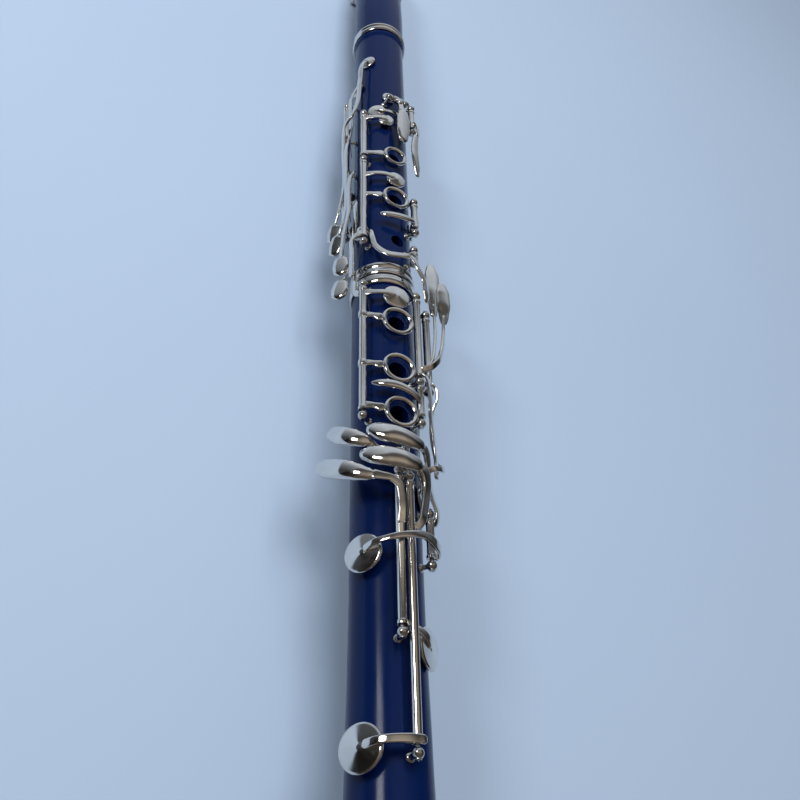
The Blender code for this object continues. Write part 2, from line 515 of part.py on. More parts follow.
    # C sharp / G sharp
    key("csharp_key", "csharp_hinge", (318.6, 322.0), [
        cup(303.4, -67, 0.0, 4.3, 0.6),
        arm([(303.6, -66, 15.2), (304.6, -56, 15.1), (306.4, -46, 15.6), (311.8, -40.5, 16.7), (317.8, -36, 17.0), (321.6, -27, 17.2), (323.8, -17, 17.5), (324.6, -4, 18.3), (324.4, 8, 19.3), (324.0, 17, 20.6)],
            [2.4, 2.2, 2.2, 2.4, 2.6, 2.8, 2.8, 2.8, 2.8, 2.8], 1.1),
        arm([(324.0, 13, 20.0), (322.0, 20, 20.6), (320.6, 27, 19.2)], [2.6, 2.8, 3.0], 1.3),
        arm([(323.9, 15, 20.4), (327.6, 20.5, 21.4), (331.6, 25, 21.9), (334.4, 31, 22.2), (337.0, 36, 22.2), (342.0, 38.5, 22.1), (347.4, 38.5, 21.7)],
            [2.8, 3.2, 3.4, 3.8, 5.6, 6.0, 2.6], [1.3, 1.3, 1.3, 1.3, 1.5, 1.5, 1.0], DOME)])
    # thumb ring with its vent cup
    key("thumb_ring_key", "thumb_ring_hinge", (204.6, 234.4), [
        ring(226.0, 180, 17.0, 6.8),
        arm([(226.0, 128, 18.2), (226.0, 143, 18.6), (226.0, 158, 17.3)], [3.4, 2.6, 2.8], 1.3),
        cup(207.5, 150, 1.5, 4.0, 0.9),
        arm([(208.0, 128, 17.9), (208.0, 138, 18.2), (207.6, 148, 17.2)], [3.2, 2.6, 2.6], 1.3)])
    # register
    c = P(190.0, 180, 17.6)
    t = N(90)
    finish("register_key", "nickel", [
        rod(c - t * 0.0031, c + t * 0.0031, TUBE_R),
        arm([(153.0, 180, 16.0), (156.5, 180, 17.8), (175.0, 180, 18.6), (190.0, 180, 18.4), (202.0, 180, 18.8), (206.0, 180, 19.0)],
            [2.4, 2.8, 3.0, 3.4, 3.4, 4.0], [1.3, 1.3, 1.4, 1.8, 1.4, 1.4]),
        arm([(204.0, 180, 19.0), (206.0, 180, 19.1), (210.0, 180, 19.2), (214.5, 180, 19.0), (216.6, 180, 18.7)], [3.6, 6.0, 7.0, 6.0, 3.0], [1.3, 1.6, 1.8, 1.6, 1.0], DOME),
        cup(153.0, 180, 0.0, 3.4, 0.6)],
        [rod(c - t * 0.0046, c + t * 0.0046, TUBE_BORE)], c)


def lower_keys():
    key("lower_ring_key", "lower_ring_hinge", (345.4, 411.8), [
        ring(363.9, -3.5, 17.5, 7.3), ring(389.6, -3.2, 17.5, 7.35), ring(411.9, -2, 17.5, 7.4),
        arm([(361.4, -52, 19.2), (361.9, -38, 18.1), (363.4, -25, 17.5)], [3.6, 2.4, 4.6], 1.3),
        arm([(388.0, -52, 19.2), (388.4, -38, 18.1), (389.5, -25, 17.5)], [3.6, 2.4, 4.6], 1.3),
        arm([(409.4, -52, 19.2), (410.0, -38, 18.1), (411.6, -24, 17.5)], [3.6, 2.4, 4.6], 1.3),
        cup(349.7, -4.7, 2.0, 6.1, 1.3),
        arm([(348.2, -52, 19.2), (348.6, -36, 18.4), (349.0, -18, 18.3), (349.6, -7, 18.3)], [3.8, 2.4, 2.4, 2.8], 1.3),
        arm([(348.0, -53, 19.0), (346.6, -64, 19.0), (340.0, -66, 19.0), (332.5, -66, 19.0)], [3.4, 2.6, 2.6, 2.8], 1.1)])
    key("banana_key", "left_lever_hinge_inner", (396.4, 411.8), [
        cup(403.0, 66, 0.0, 4.6, 0.9),
        arm([(403.0, 27.5, 17.6), (403.0, 42, 16.9), (403.0, 56, 16.6), (403.0, 64, 16.2)], [3.2, 2.6, 2.6, 2.6], 1.1),
        arm([(404.6, 27.5, 19.0), (403.2, 16, 19.9), (401.4, 0, 19.8), (400.3, -16, 19.6), (399.6, -30, 19.2), (398.8, -41, 18.6)],
            [3.4, 3.0, 3.6, 4.0, 3.4, 1.6], [1.5, 1.4, 1.4, 1.4, 1.4, 1.0], DOME)])
    # left-hand levers: touch beside the joint, link end at the right-hand keys
    key("left_fsharp_lever", "left_lever_hinge_inner", (348.2, 391.0), [
        arm([(387.5, 28, 19.4), (386.5, 33, 22.2), (382.5, 40, 24.6), (375.0, 47.5, 26.0), (364.0, 52.5, 27.0), (352.0, 53, 27.8)], [3.2, 2.8, 2.6, 2.6, 2.8, 3.6], 1.5),
        arm([(357.0, 53, 27.6), (352.0, 53, 27.9), (345.5, 52, 28.1), (338.5, 51, 28.1), (333.0, 50, 27.9)], [2.8, 4.8, 6.8, 6.6, 3.2], [1.3, 1.6, 1.8, 1.6, 1.0], DOME, up=N(-6)),
        arm([(389.0, 27.5, 19.4), (391.6, 30, 21.2), (396.0, 32, 21.9), (412.0, 33, 22.0), (424.0, 37, 22.0), (433.0, 39.5, 22.1), (440.5, 36.5, 22.5)],
            [3.4, 2.6, 2.2, 2.2, 2.2, 2.2, 2.8], 1.2)])
    key("left_e_b_lever", "left_lever_hinge_outer", (355.6, 393.4), [
        arm([(383.0, 44.5, 20.9), (379.0, 46.5, 22.3), (371.0, 51, 23.0), (361.0, 56, 23.4), (350.0, 57.5, 23.4), (343.0, 56, 23.4)], [3.2, 2.8, 2.6, 2.6, 3.0, 3.8], 1.4),
        arm([(350.0, 57.5, 23.2), (343.0, 56, 23.4), (334.0, 55, 23.5), (325.0, 55, 23.4), (317.5, 56, 23.0)], [3.0, 4.8, 6.8, 7.0, 3.6], [1.3, 1.6, 1.8, 1.6, 1.0], DOME, up=N(-6)),
        arm([(391.0, 44, 20.8), (394.0, 47, 23.0), (398.6, 49, 23.0), (403.0, 52, 21.0), (424.0, 52, 20.2), (430.6, 50, 21.6), (434.6, 45.5, 24.2), (437.0, 36, 24.7), (438.2, 27, 23.8), (440.6, 21, 20.6), (445.0, 18, 19.8), (449.0, 17.4, 19.6)],
            [3.4, 2.6, 2.2, 2.2, 2.2, 2.4, 2.4, 2.4, 2.4, 2.2, 2.2, 2.4], [1.3, 1.2, 1.2, 1.2, 1.2, 1.2, 1.2, 1.2, 1.2, 1.1, 1.1, 1.1])])
    key("left_f_c_lever", "left_lever_hinge_back", (355.6, 389.4), [
        arm([(358.0, 96, 18.8), (355.0, 108, 19.8), (349.0, 116, 20.2), (344.0, 118, 20.4)], [3.4, 3.0, 3.0, 3.6], 1.4),
        arm([(346.0, 118, 20.4), (342.0, 118.5, 20.7), (334.0, 119, 20.8), (326.0, 119, 20.7), (321.5, 119, 20.4)], [3.4, 5.8, 6.4, 5.4, 2.2], [1.3, 1.7, 1.8, 1.6, 1.0], DOME),
        arm([(386.0, 96, 19.0), (387.5, 105, 20.4), (398.0, 107, 19.6), (424.0, 104, 18.2), (434.0, 102, 17.8)], [3.4, 2.6, 2.2, 2.2, 3.0], 1.2)])
    # right-hand little-finger keys
    key("fsharp_key", "fsharp_hinge", (457.4, 473.4), [
        arm([(423.6, -42, 23.0), (424.8, -37, 23.5), (426.6, -29, 24.0), (428.0, -20, 24.3), (428.8, -10.5, 24.2), (429.3, -1, 23.8), (429.8, 9, 23.2), (430.6, 17, 22.6)],
            [3.4, 6.6, 8.2, 8.6, 8.2, 7.2, 5.8, 4.2], [1.4, 2.4, 3.0, 3.2, 3.1, 2.8, 2.4, 1.8], DOME, up=N(-14)),
        arm([(430.0, 14, 22.8), (431.6, 21, 22.1), (434.6, 26.5, 21.0), (440.0, 29.5, 20.2), (449.0, 32, 21.0), (456.5, 38, 21.7), (460.6, 38, 19.9)], [4.4, 3.8, 3.2, 2.8, 2.8, 3.0, 3.2], [1.8, 1.6, 1.4, 1.3, 1.3, 1.3, 1.3]),
        arm([(472.0, 38, 19.2), (472.2, 42, 20.6), (471.6, 38, 22.0), (470.6, 28, 22.9), (469.6, 18, 23.2), (469.2, 9.9, 23.3), (470.2, -2, 23.6), (471.2, -13, 23.5), (472.2, -26, 22.6), (472.9, -39, 21.2), (473.9, -50, 19.2)],
            [3.2, 3.6, 4.2, 4.4, 3.8, 3.0, 2.6, 2.4, 2.2, 2.2, 2.6], 1.2),
        cup(474.4, -53, 2.2, 7.6, 1.9, pad=False, n=16)])
    key("aflat_key", "aflat_hinge", (425.2, 436.2), [
        arm([(418.4, -88, 24.4), (420.4, -80, 24.9), (424.4, -68, 25.1), (427.4, -57, 24.8), (429.4, -47, 23.6), (430.6, -39, 21.8)],
            [3.4, 6.8, 8.4, 7.8, 6.0, 4.2], [1.4, 2.6, 3.2, 2.8, 2.2, 1.6], DOME, up=N(-40)),
        arm([(430.2, -42, 22.4), (431.8, -34, 19.4), (432.4, -22, 18.6), (432.0, -10, 18.4), (431.4, 1, 18.0)], [4.2, 3.2, 3.0, 3.0, 3.4], 1.4),
        arm([(433.4, 2, 17.8), (434.8, 13, 17.9), (440.0, 28, 17.3), (445.2, 43, 16.3)], [3.2, 2.8, 2.8, 2.8], 1.2),
        cup(446.0, 46, 0.0, 5.2, 1.2)])
    key("e_b_key", "e_b_hinge", (446.2, 542.4), [
        arm([(434.6, -48, 23.4), (436.0, -42, 24.1), (437.4, -34, 24.6), (438.8, -22, 24.9), (439.6, -9, 24.8), (440.0, 3, 24.1), (440.8, 12, 23.4)],
            [3.4, 7.0, 8.6, 9.0, 8.2, 6.8, 4.8], [1.4, 2.5, 3.0, 3.2, 3.0, 2.6, 2.0], DOME, up=N(-14)),
        arm([(440.2, 8, 23.6), (441.8, 13.5, 23.3), (445.4, 17.4, 22.8), (451.0, 17.6, 22.3), (457.6, 15, 22.0), (462.0, 12.5, 21.8), (464.8, 8, 21.2), (465.4, 3, 20.8)], [5.0, 4.8, 4.0, 3.4, 3.2, 3.0, 3.0, 3.0], [2.0, 2.0, 1.9, 1.7, 1.6, 1.5, 1.4, 1.4]),
        arm([(540.8, 9, 20.6), (541.0, 0, 21.2), (541.4, -16, 21.9), (541.8, -36, 21.4), (542.4, -50, 19.8)], [3.2, 3.2, 3.0, 2.8, 3.0], [2.6, 1.6, 1.4, 1.4, 1.4]),
        cup(542.7, -54, 2.2, 8.1, 2.0, pad=False, n=16)])
    key("f_c_key", "f_c_hinge", (444.2, 503.2), [
        arm([(430.6, -99, 26.3), (433.6, -91, 26.8), (438.6, -77, 27.0), (442.2, -62, 26.8), (444.8, -50, 26.1), (446.2, -41, 25.2), (446.9, -34, 24.4)],
            [3.4, 7.2, 8.8, 8.6, 7.0, 5.4, 4.2], [1.4, 2.6, 3.2, 3.2, 2.8, 2.2, 1.8], DOME, up=N(-44)),
        arm([(446.4, -38, 24.8), (447.0, -29, 24.0), (447.5, -20, 23.2), (449.6, -13, 22.7), (454.0, -10.5, 22.4), (460.0, -9.5, 22.0), (463.6, -10, 21.3), (465.6, -10.5, 20.8)], [4.4, 3.6, 3.1, 2.9, 2.8, 2.8, 2.8, 3.0], [1.8, 1.7, 1.7, 1.7, 1.6, 1.5, 1.4, 1.4]),
        arm([(501.4, -10.5, 18.9), (501.6, -4, 17.4), (502.0, 6, 16.9), (503.2, 16, 17.7), (505.4, 30, 17.7), (506.6, 38, 16.9)], [3.0, 2.8, 2.8, 2.8, 3.0, 3.0], 1.1),
        cup(506.8, 40, 0.0, 7.7, 1.7, pad=False, n=16)])
    for name, s, a, lift, R in (("fsharp_pad", 474.4, -53, 2.2, 6.8), ("e_b_pad", 542.7, -54, 2.2, 7.3), ("f_c_pad", 506.8, 40, 0.0, 6.9)):
        p = P(s, a, body_r(s) + GAP + lift)
        finish(name, "pad_skin", [spun([(0, 0), (R, 0), (R, 0.6), (0, 0.6)], p, N(a), 16)], (), p)


clear_scene()
for n_, (c_, ro_, me_, co_) in LOOKS.items():
    material(n_, c_, ro_, me_, co_)
mouthpiece()
reed()
ligature()
barrel()
joints()
corks()
bell()
thumb_rest()
hinges()
upper_keys()
lower_keys()
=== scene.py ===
"""Looks for the seventeen-key blue ABS clarinet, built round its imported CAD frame.

Places are given as in the CAD: s = mm from the mouthpiece tip along the bore,
a = degrees round the bore from the tone-hole side, r = mm from the bore axis.
"""

import json
from math import sin, cos, tan, radians, degrees, pi, sqrt, atan2, hypot

import bpy
import numpy as np
from mathutils import Matrix, Vector

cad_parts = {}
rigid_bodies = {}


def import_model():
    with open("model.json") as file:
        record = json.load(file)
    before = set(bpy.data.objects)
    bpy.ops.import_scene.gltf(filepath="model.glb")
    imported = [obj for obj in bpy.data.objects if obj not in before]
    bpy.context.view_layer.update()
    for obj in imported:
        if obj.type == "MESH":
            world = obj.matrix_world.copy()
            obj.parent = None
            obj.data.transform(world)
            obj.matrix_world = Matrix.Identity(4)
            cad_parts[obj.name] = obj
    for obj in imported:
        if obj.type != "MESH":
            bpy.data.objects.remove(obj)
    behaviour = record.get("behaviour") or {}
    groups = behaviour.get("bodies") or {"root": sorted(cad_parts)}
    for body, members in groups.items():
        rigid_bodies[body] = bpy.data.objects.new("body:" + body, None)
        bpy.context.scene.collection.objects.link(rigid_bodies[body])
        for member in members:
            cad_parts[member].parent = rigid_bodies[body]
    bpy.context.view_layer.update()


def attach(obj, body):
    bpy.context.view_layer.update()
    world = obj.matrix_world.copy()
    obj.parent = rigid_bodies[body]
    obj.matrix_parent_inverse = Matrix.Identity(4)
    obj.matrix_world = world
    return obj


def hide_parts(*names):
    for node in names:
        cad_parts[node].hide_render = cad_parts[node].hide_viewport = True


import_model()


LENGTH, RIM_R = 667.0, 39.5
S_BARREL, S_UPPER, S_LOWER, S_BELL = 73.0, 138.0, 334.0, 559.0
BORE_R, TENON_R, SOCKET_R = 7.4, 11.0, 12.2
UPPER_R, LOWER_R, FOOT_R = 13.6, 13.9, 14.85
GAP = 0.3
TUBE_R, TUBE_BORE, ROD_R, BALL_R = 1.65, 1.0, 0.65, 2.0


def P(s, a=0.0, r=0.0):
    a = radians(a)
    return Vector((r * sin(a), LENGTH / 2 - s, RIM_R + r * cos(a))) / 1000.0


def N(a):
    a = radians(a)
    return Vector((sin(a), 0.0, cos(a)))


def body_r(s):
    if s < S_LOWER:
        return UPPER_R
    if s < 490:
        return LOWER_R
    return LOWER_R + (FOOT_R - LOWER_R) * min(1.0, (s - 490) / (S_BELL - 490))


# ------------------------------------------------------------------ materials
MATS = {}


class Nodes:
    """Small helper for wiring a procedural material."""

    def __init__(self, name):
        self.m = bpy.data.materials.new(name)
        self.m.use_nodes = True
        self.t = self.m.node_tree
        self.b = self.t.nodes["Principled BSDF"]
        self.co = self.t.nodes.new("ShaderNodeTexCoord").outputs["Object"]
        MATS[name] = self.m

    def node(self, kind, **sockets):
        n = self.t.nodes.new(kind)
        for k, v in sockets.items():
            if k.startswith("_"):
                setattr(n, k[1:], v)
            else:
                n.inputs[k.replace("_", " ")].default_value = v
        return n

    def link(self, a, b):
        self.t.links.new(a, b)

    def noise(self, scale, detail=3.0, rough=0.55, stretch=None, distort=0.0):
        n = self.node("ShaderNodeTexNoise", Scale=scale, Detail=detail, Roughness=rough, Distortion=distort)
        if stretch:
            mp = self.node("ShaderNodeMapping")
            mp.inputs["Scale"].default_value = stretch
            self.link(self.co, mp.inputs["Vector"])
            self.link(mp.outputs["Vector"], n.inputs["Vector"])
        else:
            self.link(self.co, n.inputs["Vector"])
        return n.outputs["Fac"]

    def ramp(self, fac, stops):
        r = self.t.nodes.new("ShaderNodeValToRGB")
        e = r.color_ramp.elements
        e[0].position, e[0].color = stops[0][0], (*stops[0][1], 1)
        e[1].position, e[1].color = stops[-1][0], (*stops[-1][1], 1)
        for p, c in stops[1:-1]:
            x = e.new(p)
            x.color = (*c, 1)
        self.link(fac, r.inputs["Fac"])
        return r.outputs["Color"]

    def span(self, fac, lo, hi, a=0.3, b=0.7):
        m = self.node("ShaderNodeMapRange")
        for k, v in (("From Min", a), ("From Max", b), ("To Min", lo), ("To Max", hi)):
            m.inputs[k].default_value = v
        self.link(fac, m.inputs["Value"])
        return m.outputs["Result"]

    def bump(self, height, strength, distance):
        n = self.node("ShaderNodeBump", Strength=strength, Distance=distance)
        self.link(height, n.inputs["Height"])
        self.link(n.outputs["Normal"], self.b.inputs["Normal"])

    def bumps(self, pairs):
        last = None
        for height, strength, distance in pairs:
            n = self.node("ShaderNodeBump", Strength=strength, Distance=distance)
            self.link(height, n.inputs["Height"])
            if last:
                self.link(last, n.inputs["Normal"])
            last = n.outputs["Normal"]
        self.link(last, self.b.inputs["Normal"])

    def set(self, **kw):
        for k, v in kw.items():
            self.b.inputs[k.replace("_", " ")].default_value = v
        return self


def make_materials():
    # deep navy ABS, polished: faint flow marks, micro orange peel, hairline handling marks
    n = Nodes("blue_abs")
    flow = n.noise(26.0, 2.0, 0.5, stretch=(1.0, 0.18, 1.0))
    n.link(n.ramp(flow, [(0.25, (0.0016, 0.0085, 0.052)), (0.55, (0.0024, 0.0118, 0.068)), (0.85, (0.0034, 0.0150, 0.084))]), n.b.inputs["Base Color"])
    n.link(n.span(n.noise(90.0, 4.0), 0.14, 0.24), n.b.inputs["Roughness"])
    n.bumps([(n.noise(900.0, 2.0), 0.10, 0.00008), (n.noise(2600.0, 2.0, stretch=(1.0, 0.03, 1.0)), 0.05, 0.00004)])
    n.set(Metallic=0.0, Coat_Weight=0.0, Coat_Roughness=0.08, IOR=1.48, Specular_IOR_Level=0.15)

    # mirror nickel: handling haze in the roughness, very slight dressing marks
    n = Nodes("nickel")
    haze = n.noise(120.0, 5.0, 0.6)
    n.link(n.ramp(haze, [(0.30, (0.66, 0.635, 0.595)), (0.70, (0.75, 0.725, 0.685))]), n.b.inputs["Base Color"])
    n.link(n.span(n.noise(210.0, 4.0), 0.05, 0.15), n.b.inputs["Roughness"])
    n.bumps([(n.noise(520.0, 3.0), 0.06, 0.00010), (n.noise(4200.0, 2.0), 0.03, 0.00003)])
    n.set(Metallic=1.0)

    # polished steel rods, pillars and screws
    n = Nodes("steel")
    n.link(n.ramp(n.noise(160.0, 4.0), [(0.3, (0.50, 0.485, 0.455)), (0.7, (0.62, 0.60, 0.565))]), n.b.inputs["Base Color"])
    n.link(n.span(n.noise(340.0, 3.0), 0.12, 0.26), n.b.inputs["Roughness"])
    n.bumps([(n.noise(2400.0, 2.0, stretch=(1.0, 0.2, 1.0)), 0.06, 0.00004)])
    n.set(Metallic=1.0)

    # blued spring steel
    n = Nodes("blued_steel")
    n.link(n.ramp(n.noise(400.0, 3.0), [(0.3, (0.05, 0.07, 0.12)), (0.7, (0.10, 0.12, 0.18))]), n.b.inputs["Base Color"])
    n.link(n.span(n.noise(600.0, 2.0), 0.22, 0.36), n.b.inputs["Roughness"])
    n.set(Metallic=1.0)

    # black mouthpiece resin
    n = Nodes("black_resin")
    n.link(n.ramp(n.noise(40.0, 4.0), [(0.3, (0.009, 0.009, 0.010)), (0.7, (0.016, 0.016, 0.017))]), n.b.inputs["Base Color"])
    n.link(n.span(n.noise(120.0, 4.0), 0.14, 0.28), n.b.inputs["Roughness"])
    n.bumps([(n.noise(1500.0, 2.0, stretch=(1.0, 0.05, 1.0)), 0.06, 0.00004)])
    n.set(Coat_Weight=0.25, Coat_Roughness=0.08)

    # cane reed: fibres along the bore, darker vascular flecks
    n = Nodes("cane")
    fibre = n.noise(1500.0, 4.0, 0.6, stretch=(1.0, 0.02, 1.0))
    n.link(n.ramp(fibre, [(0.30, (0.46, 0.31, 0.12)), (0.50, (0.66, 0.50, 0.25)), (0.75, (0.78, 0.63, 0.36))]), n.b.inputs["Base Color"])
    n.link(n.span(fibre, 0.48, 0.66), n.b.inputs["Roughness"])
    n.bumps([(fibre, 0.35, 0.00008)])

    # cork: lenticels and grain
    n = Nodes("cork")
    v = n.node("ShaderNodeTexVoronoi", Scale=1100.0)
    n.link(n.co, v.inputs["Vector"])
    n.link(n.ramp(n.noise(700.0, 5.0, 0.7), [(0.30, (0.20, 0.10, 0.045)), (0.48, (0.42, 0.25, 0.12)), (0.72, (0.56, 0.37, 0.20))]), n.b.inputs["Base Color"])
    n.link(n.span(n.noise(500.0, 3.0), 0.72, 0.92), n.b.inputs["Roughness"])
    n.bumps([(v.outputs["Distance"], 0.45, 0.00012)])

    # pad: thin dark skin over felt
    n = Nodes("pad_skin")
    n.link(n.ramp(n.noise(500.0, 4.0, 0.65), [(0.3, (0.012, 0.010, 0.009)), (0.7, (0.045, 0.036, 0.030))]), n.b.inputs["Base Color"])
    n.link(n.span(n.noise(800.0, 3.0), 0.45, 0.65), n.b.inputs["Roughness"])
    n.bumps([(n.noise(1600.0, 4.0, 0.65), 0.30, 0.00008)])

    # studio floor: smooth pale blue-grey sweep
    n = Nodes("floor")
    n.link(n.ramp(n.noise(2.2, 2.0), [(0.3, FLOOR_LO), (0.7, FLOOR_HI)]), n.b.inputs["Base Color"])
    n.link(n.span(n.noise(60.0, 3.0), 0.52, 0.62), n.b.inputs["Roughness"])
    n.bumps([(n.noise(900.0, 2.0), 0.05, 0.0001)])
    n.set(Specular_IOR_Level=0.35)


FLOOR_LO, FLOOR_HI = (0.43, 0.545, 0.72), (0.455, 0.575, 0.75)

# ------------------------------------------------------------------ shells: (points in metres, faces)


def aim(p, axis):
    z = Vector(axis).normalized()
    x = Vector((0, 1, 0)) if abs(z.y) < 0.9 else Vector((1, 0, 0))
    y = z.cross(x).normalized()
    x = y.cross(z)
    return Matrix.Translation(p) @ Matrix((x, y, z)).transposed().to_4x4()


def facing_out(shell):
    """The shell with its faces turned outward, by the sign of its volume."""
    v, f = shell
    vol = 0.0
    for q in f:
        a = v[q[0]]
        for i in range(1, len(q) - 1):
            b, c = v[q[i]], v[q[i + 1]]
            vol += (a[0] * (b[1] * c[2] - b[2] * c[1]) - a[1] * (b[0] * c[2] - b[2] * c[0])
                    + a[2] * (b[0] * c[1] - b[1] * c[0]))
    return (v, f) if vol > 0 else (v, [tuple(reversed(q)) for q in f])


def moved(shell, m):
    v, f = shell
    return [tuple(m @ Vector(p)) for p in v], f


def loft(rings):
    k = len(rings[0])
    v = [tuple(p) for ring in rings for p in ring]
    f = []
    for j in range(len(rings) - 1):
        for i in range(k):
            a, b = j * k + i, j * k + (i + 1) % k
            f.append((a, b, b + k, a + k))
    f.append(tuple(reversed(range(k))))
    f.append(tuple(range(len(v) - k, len(v))))
    return facing_out((v, f))


def soft(profile, rad, closed, steps=3):
    """Profile with its corners eased to about this radius."""
    k = len(profile)
    out = []
    for i, p in enumerate(profile):
        if not closed and i in (0, k - 1):
            out.append(p)
            continue
        a, b = profile[i - 1], profile[(i + 1) % k]
        la, lb = hypot(a[0] - p[0], a[1] - p[1]), hypot(b[0] - p[0], b[1] - p[1])
        d = min(rad, la * 0.42, lb * 0.42)
        if d < 1e-4:
            out.append(p)
            continue
        u = (p[0] + (a[0] - p[0]) * d / la, p[1] + (a[1] - p[1]) * d / la)
        w = (p[0] + (b[0] - p[0]) * d / lb, p[1] + (b[1] - p[1]) * d / lb)
        for t in [j / steps for j in range(steps + 1)]:
            out.append(tuple((1 - t) ** 2 * u[c] + 2 * t * (1 - t) * p[c] + t * t * w[c] for c in (0, 1)))
    return out


def spun(profile, p, axis, n=48, ease=0.12):
    """Profile [(radius, height)] in mm spun round the axis. Ends on the axis make a solid, else the loop closes."""
    closed = profile[0][0] > 1e-6
    prof = soft(profile, ease, closed) if ease else list(profile)
    m = aim(p, axis)
    v, rows = [], []
    for r, h in prof:
        if r < 1e-6:
            rows.append([len(v)])
            v.append(tuple(m @ Vector((0, 0, h / 1000))))
        else:
            rows.append(list(range(len(v), len(v) + n)))
            for i in range(n):
                t = 2 * pi * (i + 0.37) / n
                v.append(tuple(m @ Vector((r * cos(t) / 1000, r * sin(t) / 1000, h / 1000))))
    f = []
    pairs = list(zip(rows, rows[1:])) + ([(rows[-1], rows[0])] if closed else [])
    for a, b in pairs:
        if len(a) == 1 and len(b) == 1:
            continue
        for i in range(n):
            j = (i + 1) % n
            if len(a) == 1:
                f.append((a[0], b[i], b[j]))
            elif len(b) == 1:
                f.append((a[i], b[0], a[j]))
            else:
                f.append((a[i], b[i], b[j], a[j]))
    return facing_out((v, f))


def turned(profile, n=128, ease=0.25):
    """Body piece turned on the bore axis: closed profile [(radius, s)]."""
    return spun([(r, s) for r, s in profile], P(0, 0, 0), Vector((0, -1, 0)), n, ease)


def rod(p0, p1, r0, r1=None, n=28, ease=0.12):
    h = (p1 - p0).length * 1000
    r1 = r0 if r1 is None else r1
    return spun([(0, 0), (r0, 0), (r1, h), (0, h)], p0, p1 - p0, n, ease)


def ball(p, r, axis, n=28, flat=0.0):
    """Ball, with its two ends along the axis faced off by flat mm."""
    prof = []
    for i in range(15):
        t = pi * i / 14
        prof.append((r * sin(t), max(-(r - flat), min(r - flat, -r * cos(t)))))
    prof[0], prof[-1] = (0, prof[0][1]), (0, prof[-1][1])
    return spun(prof, p, axis, n, 0)


def box(p, size, axis=Vector((0, 0, 1)), ease=0.2):
    """Block with eased edges; size in mm as (along bore, across, up)."""
    x, y, z = (c / 2000 for c in size)
    e = min(ease / 1000, 0.4 * min(x, y, z))
    m = aim(p, axis)
    rings = []
    for zz, inset in ((-z, e), (-z + e * 0.3, e * 0.3), (-z + e, 0), (z - e, 0), (z - e * 0.3, e * 0.3), (z, e)):
        xx, yy = x - inset, y - inset
        ring = []
        for sx, sy in ((1, 1), (-1, 1), (-1, -1), (1, -1)):
            arc = [(0, 1), (0.3, 0.3), (1, 0)]
            if sx * sy < 0:
                arc = arc[::-1]
            for ax, ay in arc:
                ring.append(m @ Vector((sx * (xx - ax * e), sy * (yy - ay * e), zz)))
        rings.append(ring)
    return loft(rings)


def hermite(ts, ys, t):
    """Smooth curve through (ts, ys), sampled at t, that doesn't swing wide on uneven spacing."""
    ts, ys = np.asarray(ts, float), np.asarray(ys, float)
    h = np.diff(ts)
    d = np.diff(ys) / h
    m = np.empty(len(ts))
    m[0], m[-1] = d[0], d[-1]
    for i in range(1, len(ts) - 1):
        m[i] = (h[i] * d[i - 1] + h[i - 1] * d[i]) / (h[i - 1] + h[i])
    j = np.clip(np.searchsorted(ts, t, side="right") - 1, 0, len(h) - 1)
    u = (t - ts[j]) / h[j]
    return ((2 * u**3 - 3 * u**2 + 1) * ys[j] + (u**3 - 2 * u**2 + u) * h[j] * m[j]
            + (-2 * u**3 + 3 * u**2) * ys[j + 1] + (u**3 - u**2) * h[j] * m[j + 1])


def steady(ts, ys, t):
    """Blend through (ts, ys) with no overshoot."""
    ts, ys = np.asarray(ts, float), np.asarray(ys, float)
    j = np.clip(np.searchsorted(ts, t, side="right") - 1, 0, len(ts) - 2)
    u = np.clip((t - ts[j]) / (ts[j + 1] - ts[j]), 0, 1)
    u = u * 0.45 + 0.55 * u * u * (3 - 2 * u)
    return ys[j] + (ys[j + 1] - ys[j]) * u


def section(kind, k=24):
    """Unit section of an arm or touch: half width 1, half thickness 1."""
    out = []
    for i in range(k):
        t = 2 * pi * (i + 0.5) / k
        c, s = cos(t), sin(t)
        if kind == "strap":
            e, u, v = 0.42, 0, 0
            out.append((abs(c) ** e * np.sign(c), abs(s) ** e * np.sign(s)))
        elif kind == "flat":
            e = 0.55
            out.append((abs(c) ** e * np.sign(c), abs(s) ** e * np.sign(s)))
        elif kind == "round":
            out.append((c, s))
        else:  # dome: flat underside, pillowed top
            if s >= 0:
                out.append((abs(c) ** 0.80 * np.sign(c), -0.25 + 1.25 * s ** 1.0))
            else:
                out.append((abs(c) ** 0.5 * np.sign(c), -0.25 - 0.75 * abs(s) ** 0.4))
    return out


SECTIONS = {k: section(k) for k in ("strap", "flat", "round", "dome")}


